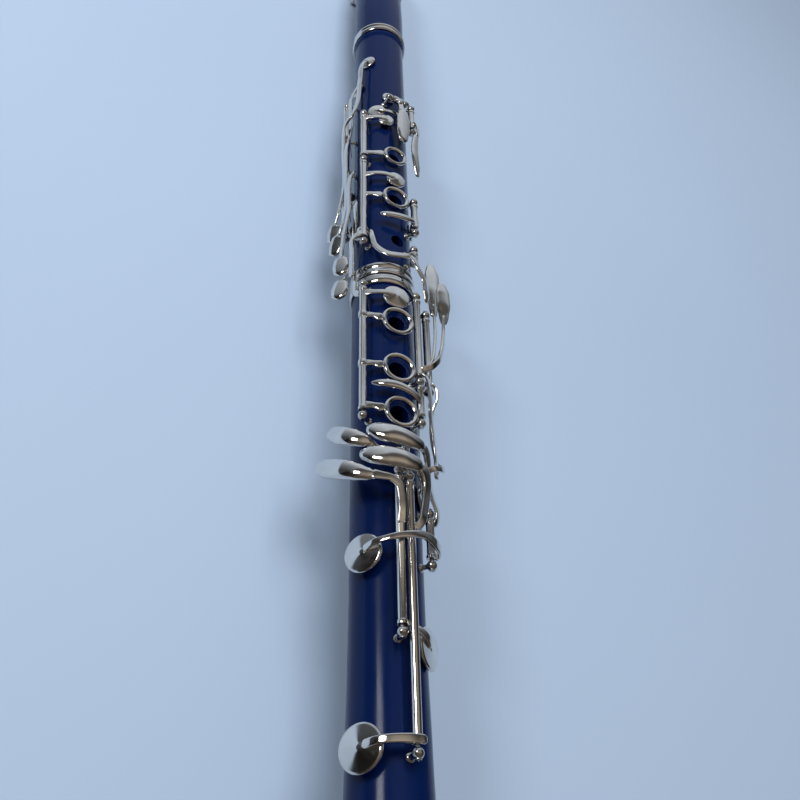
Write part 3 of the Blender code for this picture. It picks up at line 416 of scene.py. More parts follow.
def arm(pts, w, t, sect="strap", up=None, cap=(1.0, 1.0), skew=None):
    """Forged arm or touch through (s, a, r) points: w and t are full width and thickness in mm.
    cap = how far each end rounds off, as a share of the half width there; skew shifts the section sideways in mm."""
    k = len(pts)
    w = [w] * k if not isinstance(w, (list, tuple)) else w
    t = [t] * k if not isinstance(t, (list, tuple)) else t
    skew = [0.0] * k if skew is None else skew
    raw = [P(*p) for p in pts]
    ts = np.concatenate([[0], np.cumsum([(raw[i + 1] - raw[i]).length * 1000 for i in range(k - 1)])])
    total = ts[-1]
    count = int(min(90, max(18, total / 0.7)))
    base = np.linspace(0, total, count)
    c0 = max(0.25, cap[0] * 0.5 * w[0])
    c1 = max(0.25, cap[1] * 0.5 * w[-1])
    ends0 = c0 * (1 - np.cos(np.linspace(0.0, pi / 2, 8)))
    ends1 = total - c1 * (1 - np.cos(np.linspace(0.0, pi / 2, 8)))
    x = np.unique(np.round(np.concatenate([base[(base > c0 * 1.02) & (base < total - c1 * 1.02)], ends0, ends1]), 5))
    S, A, R = (hermite(ts, [p[j] for p in pts], x) for j in (0, 1, 2))
    W, T, K = steady(ts, w, x), steady(ts, t, x), steady(ts, skew, x)
    line = [P(S[i], A[i], R[i]) for i in range(len(x))]
    shape = SECTIONS[sect]
    rings = []
    for i, p in enumerate(line):
        d = (line[min(i + 1, len(x) - 1)] - line[max(i - 1, 0)]).normalized()
        n = N(A[i]) if up is None else up
        side = d.cross(n).normalized()
        n = side.cross(d).normalized()
        f = 1.0
        if x[i] < c0:
            f = min(f, sqrt(max(0.0, 1 - (1 - x[i] / c0) ** 2)))
        if total - x[i] < c1:
            f = min(f, sqrt(max(0.0, 1 - (1 - (total - x[i]) / c1) ** 2)))
        fw, ft = max(f, 0.04), max(0.45 + 0.55 * f, 0.1) if f > 0.05 else 0.3
        rings.append([p + side * ((u * W[i] * fw) / 2000 + K[i] / 1000) + n * (v * T[i] * ft / 2000) for u, v in shape])
    return loft(rings)


def tube(s0, s1, a, r, collars=(), rad=TUBE_R):
    """Hollow hinge tube with raised collars at its ends."""
    L = s1 - s0
    c = 0.28
    prof = [(TUBE_BORE, 0), (rad + c, 0), (rad + c, 1.3), (rad, 1.6), (rad, L - 1.6), (rad + c, L - 1.3), (rad + c, L), (TUBE_BORE, L)]
    out = [spun(prof, P(s0, a, r), Vector((0, -1, 0)), 28, 0.12)]
    return out


def collar(s, a, r, half=1.4, rad=TUBE_R + 0.45):
    return spun([(TUBE_BORE + 0.2, 0), (rad, 0), (rad, 2 * half), (TUBE_BORE + 0.2, 2 * half)], P(s - half, a, r), Vector((0, -1, 0)), 28, 0.3)


def post(s, a, r):
    """Turned pillar: foot flange, waist, bead and ball head."""
    b = body_r(s) + GAP * 0.2
    h = r - b
    prof = [(0, -0.6), (1.7, -0.6), (1.7, 0.25), (1.5, 0.55), (1.0, 0.9), (0.95, max(1.0, h - 2.0)), (1.25, h - 1.2), (1.25, h), (0, h)]
    return [spun(prof, P(s, a, b), N(a), 28, 0.15), ball(P(s, a, r), BALL_R, Vector((0, 1, 0)), 28, 0.25)]


def screw_end(s, a, r, way):
    """Slotted screw head let into the outer face of a ball; way is +1 toward the bell."""
    p = P(s + way * (BALL_R - 0.35), a, r)
    return spun([(0, 0), (1.15, 0), (1.15, 0.42), (0.95, 0.55), (0, 0.55)], p, Vector((0, -way, 0)), 24, 0.06)


def screw_slot(s, a, r, way):
    return box(P(s + way * (BALL_R + 0.25), a, r), (0.6, 3.2, 0.42), N(a + 35), 0.02)


def cup(s, a, lift, R, h=1.5, pad=True, n=72):
    """Pad cup, a shallow cone with an eased rim and a small crown."""
    b = body_r(s) + GAP + lift
    p = P(s, a, b)
    if pad:
        prof = [(0, 1.0 + h), (0.7, 0.98 + h), (1.4, 0.80 + h), (R * 0.90, 1.42), (R - 0.12, 1.22), (R, 0.95), (R, 0.45), (R - 0.25, 0.38), (R * 0.88, 0.45), (0, 0.45)]
    else:
        prof = [(0, 1.0 + h), (0.8, 0.98 + h), (1.6, 0.80 + h), (R * 0.91, 2.0), (R - 0.12, 1.75), (R, 1.45), (R, 0.95), (R - 0.25, 0.85), (R * 0.88, 0.95), (0, 0.95)]
    return spun(prof, p, N(a), n, 0.10)


def pad(s, a, lift, R, deep=0.45):
    """Pad seated in its cup: a rounded disc with a slight dish."""
    p = P(s, a, body_r(s) + GAP + lift)
    q = R * 0.875
    return spun([(0, 0.10), (q * 0.55, 0.06), (q * 0.72, 0.02), (q * 0.93, 0.0), (q, 0.14), (q, deep + 0.15), (0, deep + 0.15)], p, N(a), 64, 0.10)


def cup_top(s, lift, h=1.5):
    return body_r(s) + GAP + lift + 1.0 + h


def ring(s, a, r, R, w=1.9, t=1.5, n=72):
    """Finger ring: rolled outer edge, softly coned inner face."""
    i = R - w
    prof = [(i, -t * 0.42), (i + 0.25, -t / 2), (R - 0.3, -t / 2), (R, -t * 0.25), (R, t * 0.12), (R - 0.35, t * 0.42), (R - 0.9, t / 2), (i + 0.5, t * 0.36), (i, t * 0.12)]
    return spun(prof, P(s, a, r), N(a), n, 0.12)


# ------------------------------------------------------------------ pieces
PIECES = []


def as_object(shell, name="part"):
    me = bpy.data.meshes.new(name)
    me.from_pydata(*[shell[0], [], shell[1]])
    me.update()
    o = bpy.data.objects.new(name, me)
    bpy.context.scene.collection.objects.link(o)
    return o


def piece(name, mat, adds, cuts=(), body="body", node=None, angle=38):
    """Unite the shells, cut the others away, and hang the result on its CAD body."""
    adds = [s for a in adds for s in (a if isinstance(a, list) else [a])]
    cuts = [s for a in cuts for s in (a if isinstance(a, list) else [a])]
    base = as_object(adds[0], name)
    tools = [as_object(s) for s in adds[1:]] + [as_object(s) for s in cuts]
    want = len(adds) - 1
    for i, o in enumerate(tools):
        m = base.modifiers.new("b", "BOOLEAN")
        m.operation = "UNION" if i < want else "DIFFERENCE"
        m.solver = "MANIFOLD"
        m.object = o
    bpy.context.view_layer.update()
    me = bpy.data.meshes.new_from_object(base.evaluated_get(bpy.context.evaluated_depsgraph_get()))
    if not me.polygons:
        print("EMPTY", name)
    for o in [base] + tools:
        bpy.data.objects.remove(o, do_unlink=True)
    me.name = "v_" + name
    me.materials.clear()
    me.materials.append(MATS[mat])
    for f in me.polygons:
        f.material_index = 0
    me.polygons.foreach_set("use_smooth", [True] * len(me.polygons))
    me.set_sharp_from_angle(angle=radians(angle))
    ob = bpy.data.objects.new("v_" + name, me)
    bpy.context.scene.collection.objects.link(ob)
    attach(ob, body)
    if node:
        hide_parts(*([node] if isinstance(node, str) else node))
    PIECES.append(ob)
    return ob


# ------------------------------------------------------------------ body
UPPER_HOLES = [
    (153.0, 180, 1.6), (168.8, -51, 2.1), (188.0, -80, 2.2), (202.5, -8, 2.2),
    (214.9, -32, 2.4), (225.0, -15, 2.1), (226.0, 180, 3.6), (252.7, 0, 3.2),
    (270.5, 0.5, 2.7), (283.9, -0.5, 3.7), (291.0, 68, 2.5), (309.7, 7.5, 3.3),
    (303.4, -67, 2.4), (265.0, -127, 2.3), (290.0, -127, 2.4), (207.5, 150, 2.2),
]
LOWER_HOLES = [
    (349.7, -4.7, 3.4), (363.9, -3.5, 3.9), (389.6, -3.2, 4.1), (411.9, -2, 4.1),
    (403.0, 66, 2.6), (446.0, 46, 3.2), (474.4, -53, 4.8), (506.8, 40, 4.9), (542.7, -54, 5.3),
]
CHIMNEYS = [(226.0, 180, 4.6, 1.3), (252.7, 0, 3.9, 1.2), (283.9, -0.5, 4.6, 1.3),
            (363.9, -3.5, 4.7, 1.3), (389.6, -3.2, 4.9, 1.3), (411.9, -2, 4.9, 1.3)]


def hole(s, a, r):
    return rod(P(s, a, 3.0), P(s, a, 24.0), r, n=48, ease=0)


def chimney(s, a, R, h):
    top = body_r(s) + h
    return spun([(0, 0), (R + 0.9, 0), (R + 0.6, top - h - 10.5 + 0.1), (R + 0.15, top - 10.5 - 0.25), (R - 0.25, top - 10.5), (0, top - 10.5)],
                P(s, a, 10.5), N(a), 64, 0.35)


def curve2(points, n):
    """Smooth run of (radius, s) points through the given ones."""
    ts = np.concatenate([[0], np.cumsum([hypot(q[0] - p[0], q[1] - p[1]) for p, q in zip(points, points[1:])])])
    x = np.linspace(0, ts[-1], n)
    return list(zip(hermite(ts, [p[0] for p in points], x), hermite(ts, [p[1] for p in points], x)))


def mouthpiece():
    rows = [(0, 6.2, -7.6, -9.0, 0.6), (3, 6.9, -6.0, -9.0, 0.7), (12, 8.2, -1.6, -9.0, 0.8), (24, 9.9, 4.4, -9.0, 0.85),
            (36, 11.4, 10.2, -9.0, 0.9), (42, 12.0, 12.0, -9.2, 1.0), (52, 12.5, 12.5, -9.4, 1.0), (MP_TABLE, 12.9, 12.9, -9.6, 1.0),
            (MP_TABLE + 2.6, 13.2, 13.2, -12.9, 1.0), (S_BARREL - GAP, 13.7, 13.7, -13.7, 1.0)]
    ts = [r[0] for r in rows]
    x = np.concatenate([np.linspace(0, 2, 6), np.linspace(3, MP_TABLE, 44), np.linspace(MP_TABLE + 0.4, S_BARREL - GAP, 12)])
    cols = [steady(ts, [r[j] for r in rows], x) for j in (1, 2, 3, 4)]
    rings = []
    for i, s in enumerate(x):
        hw, top, bot, e = (c[i] for c in cols)
        q = 1.0 if s > 1.2 else 0.86 + 0.14 * (s / 1.2)
        ring_ = []
        for j in range(72):
            t = 2 * pi * (j + 0.5) / 72
            u = abs(cos(t)) ** e * (1 if cos(t) >= 0 else -1)
            v = abs(sin(t)) ** e * (1 if sin(t) >= 0 else -1)
            mid = min(0.0, (top + bot) / 2)
            z = mid + v * (top - mid) if v > 0 else max(bot, mid + v * max(hw, 1.0))
            ring_.append(P(s, 0, 0) + Vector((u * hw * q, 0, z)) / 1000)
        rings.append(ring_)
    tenon = rod(P(S_BARREL - 3, 0, 0), P(89, 0, 0), TENON_R - 0.35, n=96, ease=0.4)
    beads = [turned([(9.5, s), (11.6, s), (11.6, s + 0.9), (9.5, s + 0.9)], 96, 0.3) for s in (73.4, 87.4)]
    bore_c = rod(P(38, 0, 0), P(92, 0, 0), BORE_R, n=72, ease=0)
    throat = loft([[P(42 - k * 34, 0, 0) + Vector((x_ * (5.6 - k * 0.6), 0, z)) / 1000
                    for x_, z in ((-1, -14), (1, -14), (1, 3.5 - k * 10.9), (-1, 3.5 - k * 10.9))] for k in (0, 1)])
    piece("mouthpiece", "black_resin", [loft(rings), tenon] + beads, [bore_c, throat], node="mouthpiece")


MP_TABLE, REED_END, LIG0, LIG1, SCREWS = 68.0, 67.4, 40.0, 66.0, (45.0, 61.0)


def reed():
    rows = [(0.8, 6.0, 0.35, 0.05), (10, 6.4, 0.6, 0.35), (22, 6.3, 1.0, 0.8), (31, 6.1, 1.2, 1.2), (33, 6.1, 1.5, 1.2), (REED_END, 5.8, 1.3, 1.1)]
    ts = [r[0] for r in rows]
    x = np.concatenate([[0.8, 1.0, 1.3], np.linspace(2, 30.5, 24), np.linspace(31, 33, 5), np.linspace(34, REED_END - 0.4, 20), [REED_END]])
    cols = [steady(ts, [r[j] for r in rows], x) for j in (1, 2, 3)]
    rings = []
    for i, s in enumerate(x):
        hw, t0, crown = (c[i] for c in cols)
        if s < 1.5:
            hw *= 0.90 + 0.10 * (s - 0.8) / 0.7
        z0 = -9.0 - GAP - float(np.interp(s, [38, 42, 58, 62], [0, 0.4, 0.4, 0.6]))
        back = [Vector((hw * cos(pi * j / 22), 0, z0 - t0 - crown * sin(pi * j / 22) ** 0.9)) for j in range(23)]
        rings.append([P(s, 0, 0) + p / 1000 for p in [Vector((-hw, 0, z0)), Vector((hw, 0, z0))] + back])
    piece("reed", "cane", [loft(rings)], node="reed")


def ligature():
    L0, L1 = LIG0, LIG1
    mid = (L0 + L1) / 2
    band = turned([(13.2, L0), (13.75, L0), (13.95, L0 + 0.8), (13.7, L0 + 1.6), (13.85, L0 + 6), (14.0, L1 - 6), (13.95, L1 - 1.6), (14.2, L1 - 0.8), (14.05, L1), (13.45, L1)], 128, 0.3)
    lug = [box(P(mid, 0, 0) + Vector((x, 0, -15.6)) / 1000, (24, 2.6, 5.6), ease=0.7) for x in (-4.0, 4.0)]
    slot_ = box(P(mid, 0, 0) + Vector((0, 0, -15.0)) / 1000, (44, 3.6, 9), ease=0)
    holes = [rod(P(s, 0, 0) + Vector((-9, 0, -16.6)) / 1000, P(s, 0, 0) + Vector((9, 0, -16.6)) / 1000, 1.55, n=32, ease=0) for s in SCREWS]
    windows = [rod(P(mid, a, 8), P(mid, a, 20), 4.2, n=48, ease=0) for a in (-62, 62)]
    piece("ligature", "nickel", [band] + lug, [slot_] + holes + windows, node="ligature")
    for s, name in zip(SCREWS, ("ligature_screw_upper", "ligature_screw_lower")):
        c = P(s, 0, 0) + Vector((0, 0, -16.6)) / 1000
        shank = rod(c + Vector((-6.2, 0, 0)) / 1000, c + Vector((6.6, 0, 0)) / 1000, 1.2)
        head = spun([(0, 0), (2.2, 0), (2.4, 0.9), (3.2, 1.5), (3.3, 2.0), (3.3, 4.6), (2.9, 5.2), (2.2, 5.6), (0, 5.5)], c + Vector((-5.7, 0, 0)) / 1000, Vector((-1, 0, 0)), 48, 0.2)
        flutes = [rod(c + Vector((-6.8, 3.42 * cos(t), 3.42 * sin(t))) / 1000, c + Vector((-10.6, 3.42 * cos(t), 3.42 * sin(t))) / 1000, 0.34, n=12, ease=0)
                  for t in [2 * pi * k / 18 for k in range(18)]]
        piece(name, "nickel", [head, shank], flutes, node=name)


def barrel():
    outer = curve2([(14.0, 79), (13.92, 83), (14.05, 92), (14.25, 105), (14.22, 118), (14.05, 129), (14.0, 133)], 40)
    piece("barrel", "blue_abs", [turned([(SOCKET_R, S_BARREL), (14.0, S_BARREL), (14.0, 78.9)] + outer + [
        (14.0, S_UPPER - GAP), (SOCKET_R, S_UPPER - GAP), (SOCKET_R, 121.5), (BORE_R, 121.5), (BORE_R, 90.3), (SOCKET_R, 90.3)], 144, 0.3)], node="barrel")
    piece("barrel_ring_upper", "nickel", [turned([(14.3, 73.2), (14.8, 73.2), (15.1, 73.9), (15.15, 75.4), (15.15, 77.2), (14.9, 78.3), (14.3, 78.6)], 144, 0.4)], node="barrel_ring_upper")
    piece("barrel_ring_lower", "nickel", [turned([(14.3, 131.6), (14.6, 131.6)] + curve2([(14.6, 131.6), (15.02, 132.1), (15.12, 132.9), (14.85, 133.9), (14.72, 134.3), (14.85, 134.7), (15.28, 135.5), (15.35, 136.4), (15.1, 137.3)], 36) + [
        (14.9, 137.6), (14.3, 137.6)], 144, 0.1)], node="barrel_ring_lower")


def joints():
    up = turned([
        (BORE_R, 122), (TENON_R, 122), (TENON_R, S_UPPER), (14.3, S_UPPER), (14.5, 139.2), (UPPER_R, 142), (UPPER_R, 240),
        (UPPER_R, 325.6), (UPPER_R, S_LOWER - GAP), (TENON_R, S_LOWER - GAP), (TENON_R, 351), (BORE_R, 351)], 160, 0.5)
    piece("upper_joint", "blue_abs", [up] + [chimney(*c) for c in CHIMNEYS if c[0] < S_LOWER], [hole(*h) for h in UPPER_HOLES], node="upper_joint", angle=30)
    piece("upper_joint_ring", "nickel", [turned([(13.9, 326.5)] + curve2([(14.4, 326.5), (14.95, 327.0), (15.1, 327.9), (14.95, 329.0), (14.72, 329.9), (14.85, 330.8), (15.18, 331.7), (15.2, 332.6), (15.0, 333.3)], 36) + [
        (14.7, 333.4), (13.9, 333.4)], 144, 0.1)], node="upper_joint_ring")
    foot = curve2([(LOWER_R, 478), (LOWER_R + 0.02, 492), (14.2, 515), (14.55, 535), (FOOT_R - 0.05, 552), (FOOT_R + 0.2, S_BELL)], 50)
    low = turned([
        (SOCKET_R, S_LOWER), (LOWER_R, S_LOWER), (LOWER_R, 420)] + foot + [
        (12.7, S_BELL), (12.7, 576), (11.2, 576), (9.6, 540), (7.9, 490), (BORE_R, 440), (BORE_R, 352), (SOCKET_R, 352)], 160, 0.35)
    piece("lower_joint", "blue_abs", [low] + [chimney(*c) for c in CHIMNEYS if c[0] > S_LOWER], [hole(*h) for h in LOWER_HOLES], node="lower_joint", angle=30)
    piece("lower_joint_ring", "nickel", [turned([(14.2, 334.2)] + curve2([(14.9, 334.2), (15.25, 334.9), (15.3, 336.2), (15.25, 337.6), (15.0, 338.6), (14.7, 339.2)], 24) + [(14.2, 339.2)], 144, 0.1)], node="lower_joint_ring")


def corks():
    for name, s0, s1, r0, r1 in (("mouthpiece_cork", 74.5, 87, 11.0, 11.9), ("upper_joint_top_cork", 123.5, 136, 11.3, 11.9),
                                 ("upper_joint_bottom_cork", 336, 349.5, 11.3, 11.9), ("lower_joint_cork", 561, 574.5, 13.15, 13.7)):
        piece(name, "cork", [turned([(r0, s0), (r1 - 0.2, s0), (r1, s0 + 1.5), (r1, s1 - 1.5), (r1 - 0.2, s1), (r0, s1)], 128, 0.3)], node=name)


def bell():
    out = curve2([(16.05, 568), (16.2, 580), (17.0, 595), (19.0, 612), (22.0, 628), (26.2, 642), (31.5, 653), (36.2, 660), (38.0, 664)], 90)
    inn = curve2([(35.3, LENGTH), (31.0, 659), (25.5, 650), (21.0, 639), (17.0, 624), (14.0, 606), (12.0, 588), (11.3, 577)], 80)
    piece("bell", "blue_abs", [turned([(14.15, S_BELL + GAP), (16.6, S_BELL + GAP), (16.6, 566)] + out + [(38.0, LENGTH)] + inn + [(14.15, 577)], 192, 0.2)], node="bell", angle=30)
    piece("bell_socket_ring", "nickel", [turned([(17.1, S_BELL + 0.5)] + curve2([(17.5, S_BELL + 0.5), (17.95, 560.3), (18.0, 562.3), (17.9, 564.4), (17.5, 565.6)], 24) + [(17.1, 565.6)], 144, 0.1)], node="bell_socket_ring")
    piece("bell_rim_ring", "nickel", [turned([(38.7, 664.6), (39.2, 664.65), (39.45, 665.0), (RIM_R, 665.6), (RIM_R, 666.6), (39.3, LENGTH), (38.7, LENGTH)], 192, 0.2)], node="bell_rim_ring")


def thumb_rest():
    plate = box(P(381, 180, LOWER_R + GAP + 0.9), (20, 11, 1.8), ease=0.7)
    hook = arm([(388, 180, 15.2), (389, 180, 19), (388, 180, 24), (384, 180, 28)], [11, 10, 9.5, 7], [3.0, 2.6, 2.4, 2.2], "flat", up=Vector((0, 1, 0)), cap=(0.1, 0.9))
    heads = [spun([(0, 0), (1.5, 0), (1.4, 0.6), (0.9, 0.95), (0, 1.0)], P(s, 180, LOWER_R + GAP + 1.7), N(180), 28, 0.1) for s in (374.5, 381.5)]
    slots_ = [box(P(s, 180, LOWER_R + GAP + 2.8), (3.2, 0.4, 0.6), N(180), 0.02) for s in (374.5, 381.5)]
    piece("thumb_rest", "nickel", [plate, hook] + heads, slots_, node="thumb_rest")
    piece("thumb_rest_cork", "cork", [box(P(385.5, 180, 19.2), (1.0, 8.5, 6.0), ease=0.4)])


# ------------------------------------------------------------------ hinges
HINGE_LINES = {
    "upper_ring_hinge": (-53, 18.2, (219.2, 256.0, 314.6)),
    "side_key_hinge": (-100, 18.3, (198.0, 228.0, 254.6, 278.0, 301.0)),
    "gsharp_hinge": (41, 18.2, (203.6, 223.6)),
    "sliver_hinge": (33, 18.6, (281.4, 302.6)),
    "csharp_hinge": (27, 18.6, (316.2, 324.4)),
    "thumb_ring_hinge": (128, 17.8, (202.0, 237.0)),
    "lower_ring_hinge": (-52, 19.0, (342.8, 414.4)),
    "left_lever_hinge_inner": (27.5, 18.6, (345.6, 393.6, 414.6)),
    "left_lever_hinge_outer": (44, 20.2, (353.0, 396.0)),
    "left_lever_hinge_back": (96, 18.6, (353.0, 392.0)),
    "e_b_hinge": (1.5, 20.0, (443.6, 545.0)),
    "f_c_hinge": (-10.5, 20.0, (441.6, 505.8)),
    "fsharp_hinge": (38, 18.6, (454.8, 476.0)),
    "aflat_hinge": (2.0, 17.2, (422.6, 438.8)),
}


def hinges():
    for name, (a, r, places) in HINGE_LINES.items():
        adds = [rod(P(places[0] - 1.2, a, r), P(places[-1] + 1.2, a, r), ROD_R)]
        for s in places:
            adds += post(s, a, r)
        adds += [screw_end(places[0], a, r, -1), screw_end(places[-1], a, r, 1)]
        cuts = [screw_slot(places[0], a, r, -1), screw_slot(places[-1], a, r, 1)]
        piece(name, "steel", adds, cuts, node=name)
    for name, s, a, r, half in (("register_hinge", 190.0, 180, 17.6, 5.2), ("a_key_hinge", 209.4, 3, 19.4, 4.9)):
        t = N(a + 90)
        c = P(s, a, r)
        adds = [rod(c - t * (half + 1.0) / 1000, c + t * (half + 1.0) / 1000, ROD_R)]
        cuts = []
        for k in (-1, 1):
            top = c + t * (k * half) / 1000
            low = (body_r(s) ** 2 - (half + 1.5) ** 2) ** 0.5 + 0.55
            foot = P(s, a, low + 0.45) + t * (k * half) / 1000
            h = (top - foot).length * 1000
            adds += [spun([(0, 0), (1.6, 0), (1.6, 0.9), (0.95, 1.5), (1.0, h), (0, h)], foot, N(a), 28, 0.15), ball(top, 1.7, t, 28, 0.2)]
            adds += [spun([(0, 0), (1.0, 0), (1.0, 0.4), (0.8, 0.5), (0, 0.5)], top + t * (k * 1.4) / 1000, t * k, 24, 0.06)]
            cuts += [box(top + t * (k * 1.95) / 1000, (2.6, 0.4, 0.6), t * k, 0.02)]
        piece(name, "steel", adds, cuts, node=name)


def springs():
    """Blued needle springs, pillar to key."""
    adds = []
    for name, (a, r, places) in HINGE_LINES.items():
        for s0, s1 in zip(places, places[1:]):
            if s1 - s0 < 12:
                continue
            reach = min(16.0, 0.55 * (s1 - s0))
            adds.append(rod(P(s0 + 1.2, a + 2, r - 1.6), P(s0 + reach, a + 7, r - 2.2), 0.28, 0.16, 10, 0))
    for i, s in enumerate(adds):
        piece("needle_spring_%02d" % i, "blued_steel", [s])


# ------------------------------------------------------------------ keys
def key(name, line, span, adds, pads=(), corks_=()):
    a, r, _ = HINGE_LINES[line]
    s0, s1 = span
    bore_ = rod(P(s0 - 1.2, a, r), P(s1 + 1.2, a, r), TUBE_BORE, n=28, ease=0)
    piece(name, "nickel", tube(s0, s1, a, r) + adds, [bore_], body=name, node=name)
    for i, p in enumerate(pads):
        piece("%s_pad_%d" % (name, i + 1) if i else "%s_own_pad" % name, "pad_skin", [pad(*p)], body=name)
    for i, c in enumerate(corks_):
        piece("%s_cork_%d" % (name, i + 1), "cork", [c], body=name)


